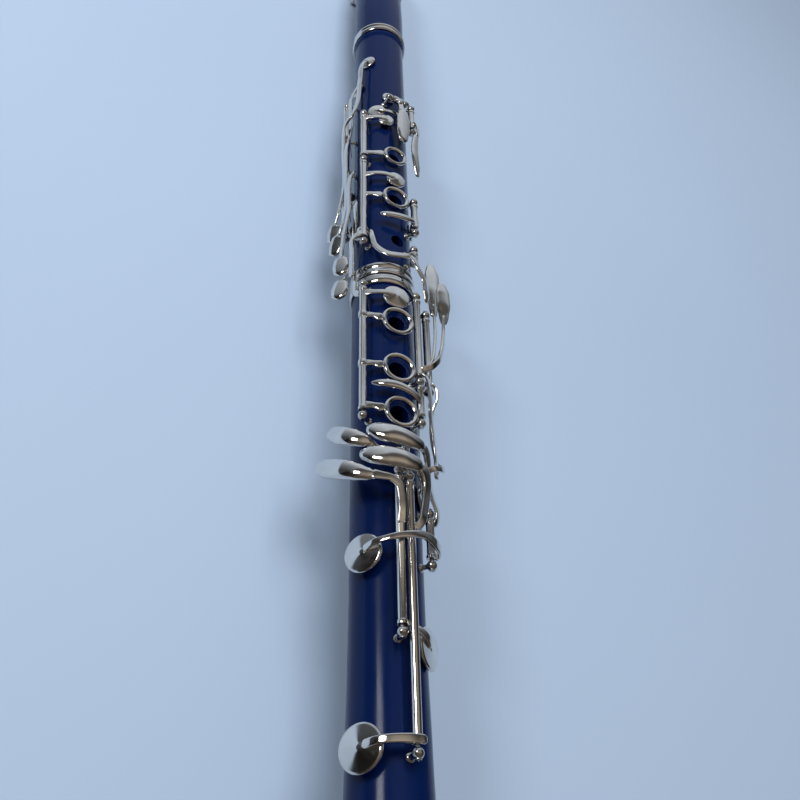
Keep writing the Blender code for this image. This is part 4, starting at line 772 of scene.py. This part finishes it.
def upper_keys():
    key("first_ring_key", "upper_ring_hinge", (221.8, 253.4), [
        ring(252.7, 0, 17.0, 6.2),
        arm([(251.5, -53, 18.4), (252.0, -38, 17.4), (252.6, -19, 16.9)], [3.0, 2.3, 4.0], 1.3),
        cup(225.0, -15, 2.0, 4.0, 0.9),
        arm([(223.6, -53, 18.4), (223.8, -38, 17.8), (224.2, -24, 17.6), (225.0, -14, 17.5)], [3.0, 2.4, 2.4, 2.6], 1.3)],
        pads=[(225.0, -15, 2.0, 4.0)])
    key("second_ring_key", "upper_ring_hinge", (258.6, 312.0), [
        ring(283.9, -0.5, 17.0, 6.85),
        arm([(282.5, -53, 18.4), (283.0, -38, 17.4), (283.9, -23, 17.0)], [3.0, 2.3, 4.2], 1.3),
        cup(270.5, 0.5, 2.0, 4.85, 1.1),
        arm([(268.4, -53, 18.4), (268.6, -34, 17.9), (269.2, -16, 17.8), (270.2, -3, 17.8)], [3.2, 2.4, 2.4, 2.8], 1.3),
        arm([(309.6, -53, 19.2), (313.0, -66, 20.8), (322.0, -66, 21.1), (337.5, -66, 21.2)], [3.6, 3.0, 2.8, 3.0], 1.2)],
        pads=[(270.5, 0.5, 2.0, 4.85)])
    c = P(209.4, 3, 19.4)
    t = N(93)
    piece("a_key", "nickel", [
        rod(c - t * 0.0028, c + t * 0.0028, TUBE_R),
        arm([(202.6, -5, 15.5), (205.0, -2, 18.0), (209.4, 3, 20.0), (215.0, 6, 20.9), (219.5, 8.5, 21.2)], [2.2, 2.6, 3.2, 3.0, 4.2], [1.3, 1.3, 1.6, 1.3, 1.3], cap=(1, 0.2)),
        arm([(218.0, 8.0, 21.2), (220.5, 9.4, 21.3), (226.0, 9.6, 21.2), (234.0, 9.8, 20.8), (240.5, 9.8, 20.2), (243.2, 9.8, 19.8)],
            [3.4, 6.0, 7.4, 7.6, 5.6, 2.0], [1.2, 1.4, 1.5, 1.6, 1.5, 1.0], "dome"),
        cup(202.5, -6, 0.0, 3.7, 0.7),
        spun([(0, 0), (1.25, 0), (1.25, 1.1), (1.0, 1.4), (0, 1.4)], P(212.6, 4.6, 20.6), N(5), 28, 0.1)],
        [rod(c - t * 0.0045, c + t * 0.0045, TUBE_BORE, n=28, ease=0), box(P(212.6, 4.6, 22.1), (0.4, 3.0, 0.8), N(25), 0.02)], body="a_key", node="a_key")
    piece("a_key_own_pad", "pad_skin", [pad(202.5, -6, 0.0, 3.7)], body="a_key")
    key("gsharp_key", "gsharp_hinge", (206.2, 221.0), [
        cup(214.9, -32, 0.0, 4.6, 1.0),
        arm([(216.6, 41, 17.6), (217.0, 25, 17.1), (217.0, 5, 16.6), (216.4, -16, 16.4), (215.0, -30, 15.9)], [3.4, 2.4, 2.4, 2.4, 2.4], [1.4, 1.1, 1.1, 1.1, 1.2]),
        arm([(215.6, 41, 19.2), (219.0, 41, 20.8), (223.6, 40.5, 21.6), (230.0, 38, 21.4)], [3.0, 3.0, 3.2, 3.6], 1.3),
        arm([(228.0, 38.5, 21.4), (233.0, 36, 21.0), (240.0, 34, 20.7), (247.0, 35, 20.6), (253.0, 39, 20.4), (259.4, 43, 20.0)],
            [2.8, 4.4, 5.4, 5.4, 4.8, 2.4], [1.2, 1.3, 1.4, 1.5, 1.5, 1.0], "dome", up=N(22))],
        pads=[(214.9, -32, 0.0, 4.6)])
    key("side_key_1", "side_key_hinge", (200.6, 225.4), [
        cup(168.8, -51, 0.0, 4.3, 1.0),
        arm([(221.5, -100, 18.8), (221.8, -92, 21.0), (221.4, -80, 21.4), (219.0, -70, 21.0), (212.0, -64, 20.0), (190.0, -59, 19.2), (174.0, -55, 18.2), (168.8, -51, 16.2)],
            [3.4, 3.0, 2.6, 2.6, 2.8, 2.8, 2.8, 2.4], 1.2),
        arm([(222.6, -88, 21.2), (225.5, -88, 21.4), (240.0, -88, 21.5), (278.0, -88, 21.5), (284.0, -92.5, 22.0), (292.5, -103, 23.0)], [2.6, 2.4, 2.4, 2.4, 2.4, 2.8], 1.2),
        arm([(291.0, -102, 22.9), (293.0, -103.6, 23.1), (297.0, -106, 23.3), (300.5, -107.5, 23.4), (302.0, -108, 23.3)], [3.2, 6.8, 8.2, 6.6, 3.2], [1.3, 1.7, 1.9, 1.7, 1.2], "dome", up=N(-52))],
        pads=[(168.8, -51, 0.0, 4.3)], corks_=[arm([(292.5, -106.4, 22.2), (300.0, -110.4, 22.6)], 5.8, 1.2, "flat", up=N(-52))])
    key("side_key_2", "side_key_hinge", (230.6, 252.0), [
        cup(188.0, -80, 0.0, 4.2, 0.9),
        arm([(234.0, -100, 18.6), (234.0, -88, 18.8), (228.0, -83.5, 18.5), (196.0, -82.5, 18.0), (188.0, -80, 16.0)], [3.2, 2.8, 2.6, 2.6, 2.6], 1.2),
        arm([(234.4, -97, 18.9), (234.8, -88, 19.2), (235.4, -82, 19.6), (237.6, -79.4, 20.6), (242.0, -79, 21.4), (262.0, -79, 21.5), (291.0, -79, 21.5), (297.0, -81, 21.8), (304.6, -91, 22.7)], [3.0, 2.6, 2.4, 2.4, 2.4, 2.4, 2.4, 2.4, 2.8], 1.2),
        arm([(303.4, -90, 22.6), (305.2, -92, 22.8), (309.4, -95.6, 23.0), (313.0, -98, 23.2), (314.6, -98.8, 23.1)], [3.2, 6.2, 7.6, 6.4, 3.2], [1.3, 1.7, 1.9, 1.7, 1.2], "dome", up=N(-50))],
        pads=[(188.0, -80, 0.0, 4.2)], corks_=[arm([(305.5, -94.3, 21.7), (313.0, -100.5, 22.3)], 5.4, 1.2, "flat", up=N(-50))])
    key("side_key_3", "side_key_hinge", (257.2, 275.4), [
        cup(265.0, -127, 0.0, 4.2, 0.9),
        arm([(264.0, -100, 18.2), (264.4, -112, 18.0), (265.0, -125, 16.2)], [3.2, 2.4, 2.4], 1.2),
        arm([(259.4, -98, 18.5), (259.8, -90, 18.7), (260.6, -80, 18.8), (262.0, -73, 18.8), (264.4, -69.5, 19.6), (268.0, -70.4, 21.2), (272.0, -71.5, 21.5), (295.0, -72, 21.7), (302.0, -74, 22.3), (310.0, -76.5, 22.8), (323.0, -80, 23.0)], [3.0, 2.6, 2.4, 2.4, 2.4, 2.4, 2.4, 2.4, 2.4, 2.4, 2.8], 1.2),
        arm([(321.6, -80, 22.9), (323.6, -80, 23.1), (328.0, -80, 23.2), (332.0, -80.5, 23.3), (333.8, -81, 23.2)], [3.0, 7.0, 8.2, 6.6, 3.0], [1.3, 1.7, 1.9, 1.7, 1.2], "dome", up=N(-48))],
        pads=[(265.0, -127, 0.0, 4.2)], corks_=[arm([(322.0, -82, 21.8), (331.5, -82.5, 22.1)], 6.0, 1.2, "flat", up=N(-48))])
    key("side_key_4", "side_key_hinge", (280.6, 298.4), [
        cup(290.0, -127, 0.0, 4.2, 0.9),
        arm([(289.0, -100, 18.2), (289.4, -112, 18.0), (290.0, -125, 16.2)], [3.2, 2.4, 2.4], 1.2),
        arm([(282.6, -98, 18.2), (283.0, -90, 18.2), (283.8, -78, 18.0), (285.0, -70, 18.4), (287.0, -64.4, 19.4), (290.4, -63.4, 20.1), (296.0, -63.4, 19.9), (301.0, -66, 18.9), (307.0, -71, 18.2), (316.0, -76, 18.3), (330.0, -78.5, 19.3), (336.0, -81, 21.6)], [3.0, 2.6, 2.4, 2.4, 2.4, 2.4, 2.4, 2.4, 2.4, 2.4, 2.4, 2.8], 1.2),
        arm([(334.8, -81.2, 21.5), (337.0, -82, 22.1), (341.5, -83, 22.8), (345.6, -83.5, 23.2), (347.4, -84, 23.2)], [3.0, 7.0, 8.4, 6.8, 3.2], [1.3, 1.7, 1.9, 1.7, 1.2], "dome", up=N(-48))],
        pads=[(290.0, -127, 0.0, 4.2)], corks_=[arm([(338.0, -84.4, 21.1), (346.0, -85.7, 22.1)], 6.2, 1.2, "flat", up=N(-48))])
    key("sliver_key", "sliver_hinge", (284.0, 300.0), [
        cup(291.0, 68, 0.0, 4.4, 0.9),
        arm([(291.0, 33, 18.6), (291.0, 50, 18.4), (291.0, 66, 16.2)], [3.2, 2.6, 2.6], 1.2),
        arm([(295.6, 33, 18.8), (297.4, 24, 19.6), (298.6, 8, 19.4), (299.0, -8, 19.0), (298.6, -20, 18.6), (297.8, -27, 18.2)],
            [3.2, 2.8, 3.4, 3.6, 3.2, 1.6], [1.5, 1.4, 1.4, 1.4, 1.4, 1.0], "dome")],
        pads=[(291.0, 68, 0.0, 4.4)])
    key("csharp_key", "csharp_hinge", (318.6, 322.0), [
        cup(303.4, -67, 0.0, 4.3, 0.6),
        arm([(303.6, -66, 15.2), (304.6, -56, 15.1), (306.4, -46, 15.6), (311.8, -40.5, 16.7), (317.8, -36, 17.0), (321.6, -27, 17.2), (323.8, -17, 17.5), (324.6, -4, 18.3), (324.4, 8, 19.3), (324.0, 17, 20.6)],
            [2.4, 2.2, 2.2, 2.4, 2.6, 2.8, 2.8, 2.8, 2.8, 2.8], 1.1),
        arm([(324.0, 13, 20.0), (322.0, 20, 20.6), (320.6, 27, 19.2)], [2.6, 2.8, 3.0], 1.3),
        arm([(323.9, 15, 20.4), (327.6, 20.5, 21.4), (331.6, 25, 21.9), (334.4, 31, 22.2), (337.0, 36, 22.2), (342.0, 38.5, 22.1), (347.4, 38.5, 21.7)],
            [2.8, 3.2, 3.4, 3.8, 5.6, 6.0, 2.6], [1.3, 1.3, 1.3, 1.3, 1.5, 1.5, 1.0], "dome")],
        pads=[(303.4, -67, 0.0, 4.3)])
    key("thumb_ring_key", "thumb_ring_hinge", (204.6, 234.4), [
        ring(226.0, 180, 17.0, 6.8),
        arm([(226.0, 128, 18.2), (226.0, 143, 18.6), (226.0, 158, 17.3)], [3.4, 2.6, 2.8], 1.3),
        cup(207.5, 150, 1.5, 4.0, 0.9),
        arm([(208.0, 128, 17.9), (208.0, 138, 18.2), (207.6, 148, 17.2)], [3.2, 2.6, 2.6], 1.3)],
        pads=[(207.5, 150, 1.5, 4.0)])
    c = P(190.0, 180, 17.6)
    t = N(90)
    piece("register_key", "nickel", [
        rod(c - t * 0.0031, c + t * 0.0031, TUBE_R),
        arm([(153.0, 180, 16.0), (156.5, 180, 17.8), (175.0, 180, 18.6), (190.0, 180, 18.4), (202.0, 180, 18.8), (206.0, 180, 19.0)],
            [2.4, 2.8, 3.0, 3.4, 3.4, 4.0], [1.3, 1.3, 1.4, 1.8, 1.4, 1.4]),
        arm([(204.0, 180, 19.0), (206.0, 180, 19.1), (210.0, 180, 19.2), (214.5, 180, 19.0), (216.6, 180, 18.7)], [3.6, 6.0, 7.0, 6.0, 3.0], [1.3, 1.6, 1.8, 1.6, 1.0], "dome"),
        cup(153.0, 180, 0.0, 3.4, 0.6)],
        [rod(c - t * 0.0046, c + t * 0.0046, TUBE_BORE, n=28, ease=0)], body="register_key", node="register_key")
    piece("register_key_own_pad", "pad_skin", [pad(153.0, 180, 0.0, 3.4)], body="register_key")


def lower_keys():
    key("lower_ring_key", "lower_ring_hinge", (345.4, 411.8), [
        ring(363.9, -3.5, 17.5, 7.3), ring(389.6, -3.2, 17.5, 7.35), ring(411.9, -2, 17.5, 7.4),
        arm([(361.4, -52, 19.2), (361.9, -38, 18.1), (363.4, -25, 17.5)], [3.6, 2.4, 4.6], 1.3),
        arm([(388.0, -52, 19.2), (388.4, -38, 18.1), (389.5, -25, 17.5)], [3.6, 2.4, 4.6], 1.3),
        arm([(409.4, -52, 19.2), (410.0, -38, 18.1), (411.6, -24, 17.5)], [3.6, 2.4, 4.6], 1.3),
        collar(361.0, -52, 19.0), collar(388.0, -52, 19.0),
        cup(349.7, -4.7, 2.0, 6.1, 1.3),
        arm([(348.2, -52, 19.2), (348.6, -36, 18.4), (349.0, -18, 18.3), (349.6, -7, 18.3)], [3.8, 2.4, 2.4, 2.8], 1.3),
        arm([(348.0, -53, 19.0), (346.6, -64, 19.0), (340.0, -66, 19.0), (332.5, -66, 19.0)], [3.4, 2.6, 2.6, 2.8], 1.1)],
        pads=[(349.7, -4.7, 2.0, 6.1)])
    key("banana_key", "left_lever_hinge_inner", (396.4, 411.8), [
        cup(403.0, 66, 0.0, 4.6, 0.9),
        arm([(403.0, 27.5, 17.6), (403.0, 42, 16.9), (403.0, 56, 16.6), (403.0, 64, 16.2)], [3.2, 2.6, 2.6, 2.6], 1.1),
        arm([(404.6, 27.5, 19.0), (403.2, 16, 19.9), (401.4, 0, 19.8), (400.3, -16, 19.6), (399.6, -30, 19.2), (398.8, -41, 18.6)],
            [3.4, 3.0, 3.6, 4.0, 3.4, 1.6], [1.5, 1.4, 1.4, 1.4, 1.4, 1.0], "dome")],
        pads=[(403.0, 66, 0.0, 4.6)])
    key("left_fsharp_lever", "left_lever_hinge_inner", (348.2, 391.0), [
        arm([(387.5, 28, 19.4), (386.5, 33, 22.2), (382.5, 40, 24.6), (375.0, 47.5, 26.0), (364.0, 52.5, 27.0), (352.0, 53, 27.8)], [3.2, 2.8, 2.6, 2.6, 2.8, 3.6], 1.5),
        arm([(357.0, 53, 27.6), (352.0, 53, 27.9), (345.5, 52, 28.1), (338.5, 51, 28.1), (333.0, 50, 27.9)], [2.8, 4.8, 6.8, 6.6, 3.2], [1.3, 1.6, 1.8, 1.6, 1.0], "dome", up=N(-6)),
        arm([(389.0, 27.5, 19.4), (391.6, 30, 21.2), (396.0, 32, 21.9), (412.0, 33, 22.0), (424.0, 37, 22.0), (433.0, 39.5, 22.1), (440.5, 36.5, 22.5)],
            [3.4, 2.6, 2.2, 2.2, 2.2, 2.2, 2.8], 1.2)])
    key("left_e_b_lever", "left_lever_hinge_outer", (355.6, 393.4), [
        arm([(383.0, 44.5, 20.9), (379.0, 46.5, 22.3), (371.0, 51, 23.0), (361.0, 56, 23.4), (350.0, 57.5, 23.4), (343.0, 56, 23.4)], [3.2, 2.8, 2.6, 2.6, 3.0, 3.8], 1.4),
        arm([(350.0, 57.5, 23.2), (343.0, 56, 23.4), (334.0, 55, 23.5), (325.0, 55, 23.4), (317.5, 56, 23.0)], [3.0, 4.8, 6.8, 7.0, 3.6], [1.3, 1.6, 1.8, 1.6, 1.0], "dome", up=N(-6)),
        arm([(391.0, 44, 20.8), (394.0, 47, 23.0), (398.6, 49, 23.0), (403.0, 52, 21.0), (424.0, 52, 20.2), (430.6, 50, 21.6), (434.6, 45.5, 24.2), (437.0, 36, 24.7), (438.2, 27, 23.8), (440.6, 21, 20.6), (445.0, 18, 19.8), (449.0, 17.4, 19.6)],
            [3.4, 2.6, 2.2, 2.2, 2.2, 2.4, 2.4, 2.4, 2.4, 2.2, 2.2, 2.4], [1.3, 1.2, 1.2, 1.2, 1.2, 1.2, 1.2, 1.2, 1.2, 1.1, 1.1, 1.1])])
    key("left_f_c_lever", "left_lever_hinge_back", (355.6, 389.4), [
        arm([(358.0, 96, 18.8), (355.0, 108, 19.8), (349.0, 116, 20.2), (344.0, 118, 20.4)], [3.4, 3.0, 3.0, 3.6], 1.4),
        arm([(346.0, 118, 20.4), (342.0, 118.5, 20.7), (334.0, 119, 20.8), (326.0, 119, 20.7), (321.5, 119, 20.4)], [3.4, 5.8, 6.4, 5.4, 2.2], [1.3, 1.7, 1.8, 1.6, 1.0], "dome"),
        arm([(386.0, 96, 19.0), (387.5, 105, 20.4), (398.0, 107, 19.6), (424.0, 104, 18.2), (434.0, 102, 17.8)], [3.4, 2.6, 2.2, 2.2, 3.0], 1.2)])
    key("fsharp_key", "fsharp_hinge", (457.4, 473.4), [
        arm([(423.6, -42, 23.0), (424.8, -37, 23.5), (426.6, -29, 24.0), (428.0, -20, 24.3), (428.8, -10.5, 24.2), (429.3, -1, 23.8), (429.8, 9, 23.2), (430.6, 17, 22.6)],
            [3.4, 6.6, 8.2, 8.6, 8.2, 7.2, 5.8, 4.2], [1.4, 2.4, 3.0, 3.2, 3.1, 2.8, 2.4, 1.8], "dome", up=N(-14)),
        arm([(430.0, 14, 22.8), (431.6, 21, 22.1), (434.6, 26.5, 21.0), (440.0, 29.5, 20.2), (449.0, 32, 21.0), (456.5, 38, 21.7), (460.6, 38, 19.9)], [4.4, 3.8, 3.2, 2.8, 2.8, 3.0, 3.2], [1.8, 1.6, 1.4, 1.3, 1.3, 1.3, 1.3]),
        arm([(472.0, 38, 19.2), (472.2, 42, 20.6), (471.6, 38, 22.0), (470.6, 28, 22.9), (469.6, 18, 23.2), (469.2, 9.9, 23.3), (470.2, -2, 23.6), (471.2, -13, 23.5), (472.2, -26, 22.6), (472.9, -39, 21.2), (473.9, -50, 19.2)],
            [3.2, 3.6, 4.2, 4.4, 3.8, 3.0, 2.6, 2.4, 2.2, 2.2, 2.6], 1.2),
        cup(474.4, -53, 2.2, 7.6, 1.9, pad=False)])
    key("aflat_key", "aflat_hinge", (425.2, 436.2), [
        arm([(418.4, -88, 24.4), (420.4, -80, 24.9), (424.4, -68, 25.1), (427.4, -57, 24.8), (429.4, -47, 23.6), (430.6, -39, 21.8)],
            [3.4, 6.8, 8.4, 7.8, 6.0, 4.2], [1.4, 2.6, 3.2, 2.8, 2.2, 1.6], "dome", up=N(-40)),
        arm([(430.2, -42, 22.4), (431.8, -34, 19.4), (432.4, -22, 18.6), (432.0, -10, 18.4), (431.4, 1, 18.0)], [4.2, 3.2, 3.0, 3.0, 3.4], 1.4),
        arm([(433.4, 2, 17.8), (434.8, 13, 17.9), (440.0, 28, 17.3), (445.2, 43, 16.3)], [3.2, 2.8, 2.8, 2.8], 1.2),
        cup(446.0, 46, 0.0, 5.2, 1.2)],
        pads=[(446.0, 46, 0.0, 5.2)])
    key("e_b_key", "e_b_hinge", (446.2, 542.4), [
        arm([(434.6, -48, 23.4), (436.0, -42, 24.1), (437.4, -34, 24.6), (438.8, -22, 24.9), (439.6, -9, 24.8), (440.0, 3, 24.1), (440.8, 12, 23.4)],
            [3.4, 7.0, 8.6, 9.0, 8.2, 6.8, 4.8], [1.4, 2.5, 3.0, 3.2, 3.0, 2.6, 2.0], "dome", up=N(-14)),
        arm([(440.2, 8, 23.6), (441.8, 13.5, 23.3), (445.4, 17.4, 22.8), (451.0, 17.6, 22.3), (457.6, 15, 22.0), (462.0, 12.5, 21.8), (464.8, 8, 21.2), (465.4, 3, 20.8)], [5.0, 4.8, 4.0, 3.4, 3.2, 3.0, 3.0, 3.0], [2.0, 2.0, 1.9, 1.7, 1.6, 1.5, 1.4, 1.4]),
        arm([(540.8, 9, 20.6), (541.0, 0, 21.2), (541.4, -16, 21.9), (541.8, -36, 21.4), (542.4, -50, 19.8)], [3.2, 3.2, 3.0, 2.8, 3.0], [2.6, 1.6, 1.4, 1.4, 1.4]),
        cup(542.7, -54, 2.2, 8.1, 2.0, pad=False)])
    key("f_c_key", "f_c_hinge", (444.2, 503.2), [
        arm([(430.6, -99, 26.3), (433.6, -91, 26.8), (438.6, -77, 27.0), (442.2, -62, 26.8), (444.8, -50, 26.1), (446.2, -41, 25.2), (446.9, -34, 24.4)],
            [3.4, 7.2, 8.8, 8.6, 7.0, 5.4, 4.2], [1.4, 2.6, 3.2, 3.2, 2.8, 2.2, 1.8], "dome", up=N(-44)),
        arm([(446.4, -38, 24.8), (447.0, -29, 24.0), (447.5, -20, 23.2), (449.6, -13, 22.7), (454.0, -10.5, 22.4), (460.0, -9.5, 22.0), (463.6, -10, 21.3), (465.6, -10.5, 20.8)], [4.4, 3.6, 3.1, 2.9, 2.8, 2.8, 2.8, 3.0], [1.8, 1.7, 1.7, 1.7, 1.6, 1.5, 1.4, 1.4]),
        arm([(501.4, -10.5, 18.9), (501.6, -4, 17.4), (502.0, 6, 16.9), (503.2, 16, 17.7), (505.4, 30, 17.7), (506.6, 38, 16.9)], [3.0, 2.8, 2.8, 2.8, 3.0, 3.0], 1.1),
        cup(506.8, 40, 0.0, 7.7, 1.7, pad=False)])
    for name, body, s, a, lift, R in (("fsharp_pad", "fsharp_key", 474.4, -53, 2.2, 6.8), ("e_b_pad", "e_b_key", 542.7, -54, 2.2, 7.3), ("f_c_pad", "f_c_key", 506.8, 40, 0.0, 6.9)):
        p = P(s, a, body_r(s) + GAP + lift)
        piece(name, "pad_skin", [spun([(0, 0.12), (R * 0.6, 0.08), (R * 0.74, 0.02), (R - 0.5, 0), (R, 0.2), (R, 0.9), (0, 0.9)], p, N(a), 72, 0.15)], body=body, node=name)


# ------------------------------------------------------------------ camera, floor, light
def camera():
    X, Z, Y = N(63), N(-27), Vector((0, 1, 0))
    beta, roll = radians(53.012), radians(-1.536)
    F = Y * cos(beta) - Z * sin(beta)
    U = Y * sin(beta) + Z * cos(beta)
    right = X * cos(roll) + U * sin(roll)
    up = U * cos(roll) - X * sin(roll)
    at = Vector((0, (LENGTH / 2 - 631.6) / 1000, RIM_R / 1000)) + X * 0.00684 + Z * 0.315
    cam = bpy.data.objects.new("camera", bpy.data.cameras.new("camera"))
    cam.matrix_world = Matrix.Translation(at) @ Matrix((right, up, -F)).transposed().to_4x4()
    cam.data.sensor_width = 36.0
    cam.data.sensor_fit = "HORIZONTAL"
    cam.data.lens = 933.1 / 800 * 36.0
    cam.data.clip_start = 0.01
    cam.data.clip_end = 20
    bpy.context.scene.collection.objects.link(cam)
    bpy.context.scene.camera = cam


def floor():
    """A smooth sheet that the bell rim and the ligature screws rest on."""
    k = 24
    pts, faces = [], []
    for i in range(k + 1):
        for j in range(k + 1):
            x, y = (i / k - 0.5) * 5.0, (j / k - 0.5) * 5.0
            pts.append((x, y, (y + LENGTH / 2000) * FLOOR_RISE - 0.0002))
    for i in range(k):
        for j in range(k):
            a = i * (k + 1) + j
            faces.append((a, a + k + 1, a + k + 2, a + 1))
    me = bpy.data.meshes.new("floor")
    me.from_pydata(pts, [], faces)
    me.materials.append(MATS["floor"])
    o = bpy.data.objects.new("floor", me)
    bpy.context.scene.collection.objects.link(o)


FLOOR_RISE = 0.03245


def area(name, at, look, size, power, colour, mirrored):
    l = bpy.data.lights.new(name, "AREA")
    l.shape = "RECTANGLE"
    l.size, l.size_y = size
    l.energy = power
    l.color = colour
    o = bpy.data.objects.new(name, l)
    d = Vector(look) - Vector(at)
    o.matrix_world = Matrix.Translation(at) @ d.to_track_quat("-Z", "Y").to_matrix().to_4x4()
    o.visible_glossy = mirrored
    bpy.context.scene.collection.objects.link(o)


def lights():
    sc = bpy.context.scene
    w = bpy.data.worlds.new("studio")
    sc.world = w
    w.use_nodes = True
    t = w.node_tree
    bg = t.nodes["Background"]
    co = t.nodes.new("ShaderNodeTexCoord")
    sep = t.nodes.new("ShaderNodeSeparateXYZ")
    t.links.new(co.outputs["Generated"], sep.inputs["Vector"])
    # far wall pale, ceiling warm, the two sides dim
    dot = t.nodes.new("ShaderNodeVectorMath")
    dot.operation = "DOT_PRODUCT"
    dot.inputs[1].default_value = (0.0, 0.80, -0.60)
    t.links.new(co.outputs["Generated"], dot.inputs[0])
    half = t.nodes.new("ShaderNodeMapRange")
    half.inputs["From Min"].default_value = -1.0
    t.links.new(dot.outputs["Value"], half.inputs["Value"])
    ramp = t.nodes.new("ShaderNodeValToRGB")
    t.links.new(half.outputs["Result"], ramp.inputs["Fac"])
    e = ramp.color_ramp.elements
    e[0].position, e[0].color = 0.0, (0.10, 0.09, 0.08, 1)
    e[1].position, e[1].color = 1.0, (0.66, 0.74, 0.84, 1)
    for p, c in ((0.10, (0.14, 0.12, 0.10, 1)), (0.26, (0.46, 0.395, 0.325, 1)), (0.36, (0.30, 0.265, 0.23, 1)), (0.44, (0.085, 0.08, 0.075, 1)), (0.50, (0.10, 0.10, 0.10, 1)), (0.56, (0.52, 0.58, 0.66, 1))):
        x = e.new(p)
        x.color = c
    size = t.nodes.new("ShaderNodeMath")
    size.operation = "ABSOLUTE"
    t.links.new(sep.outputs["X"], size.inputs[0])
    dim = t.nodes.new("ShaderNodeMapRange")
    for k, v in (("From Min", 0.32), ("From Max", 0.85), ("To Min", 1.0), ("To Max", 0.10)):
        dim.inputs[k].default_value = v
    t.links.new(size.outputs[0], dim.inputs["Value"])
    t.links.new(ramp.outputs["Color"], bg.inputs["Color"])
    t.links.new(dim.outputs["Result"], bg.inputs["Strength"])
    area("key", (-0.05, 0.30, 1.30), (0.0, 0.0, 0.0), (0.8, 0.8), 12.4, (0.96, 0.98, 1.0), False)
    area("fill", (0.9, -0.1, 0.9), (0.0, 0.0, 0.0), (0.5, 1.1), 0.3, (0.92, 0.96, 1.0), False)
    area("window", (-0.95, 0.16, 0.89), (0.0, -0.20, 0.05), (0.32, 0.34), 6.0, (0.95, 0.98, 1.0), True)
    sc.view_settings.view_transform = "Standard"
    sc.view_settings.look = "None"
    sc.view_settings.exposure = 0.0


make_materials()
camera()
floor()
lights()
mouthpiece()
reed()
ligature()
barrel()
joints()
corks()
bell()
thumb_rest()
hinges()
springs()
upper_keys()
lower_keys()
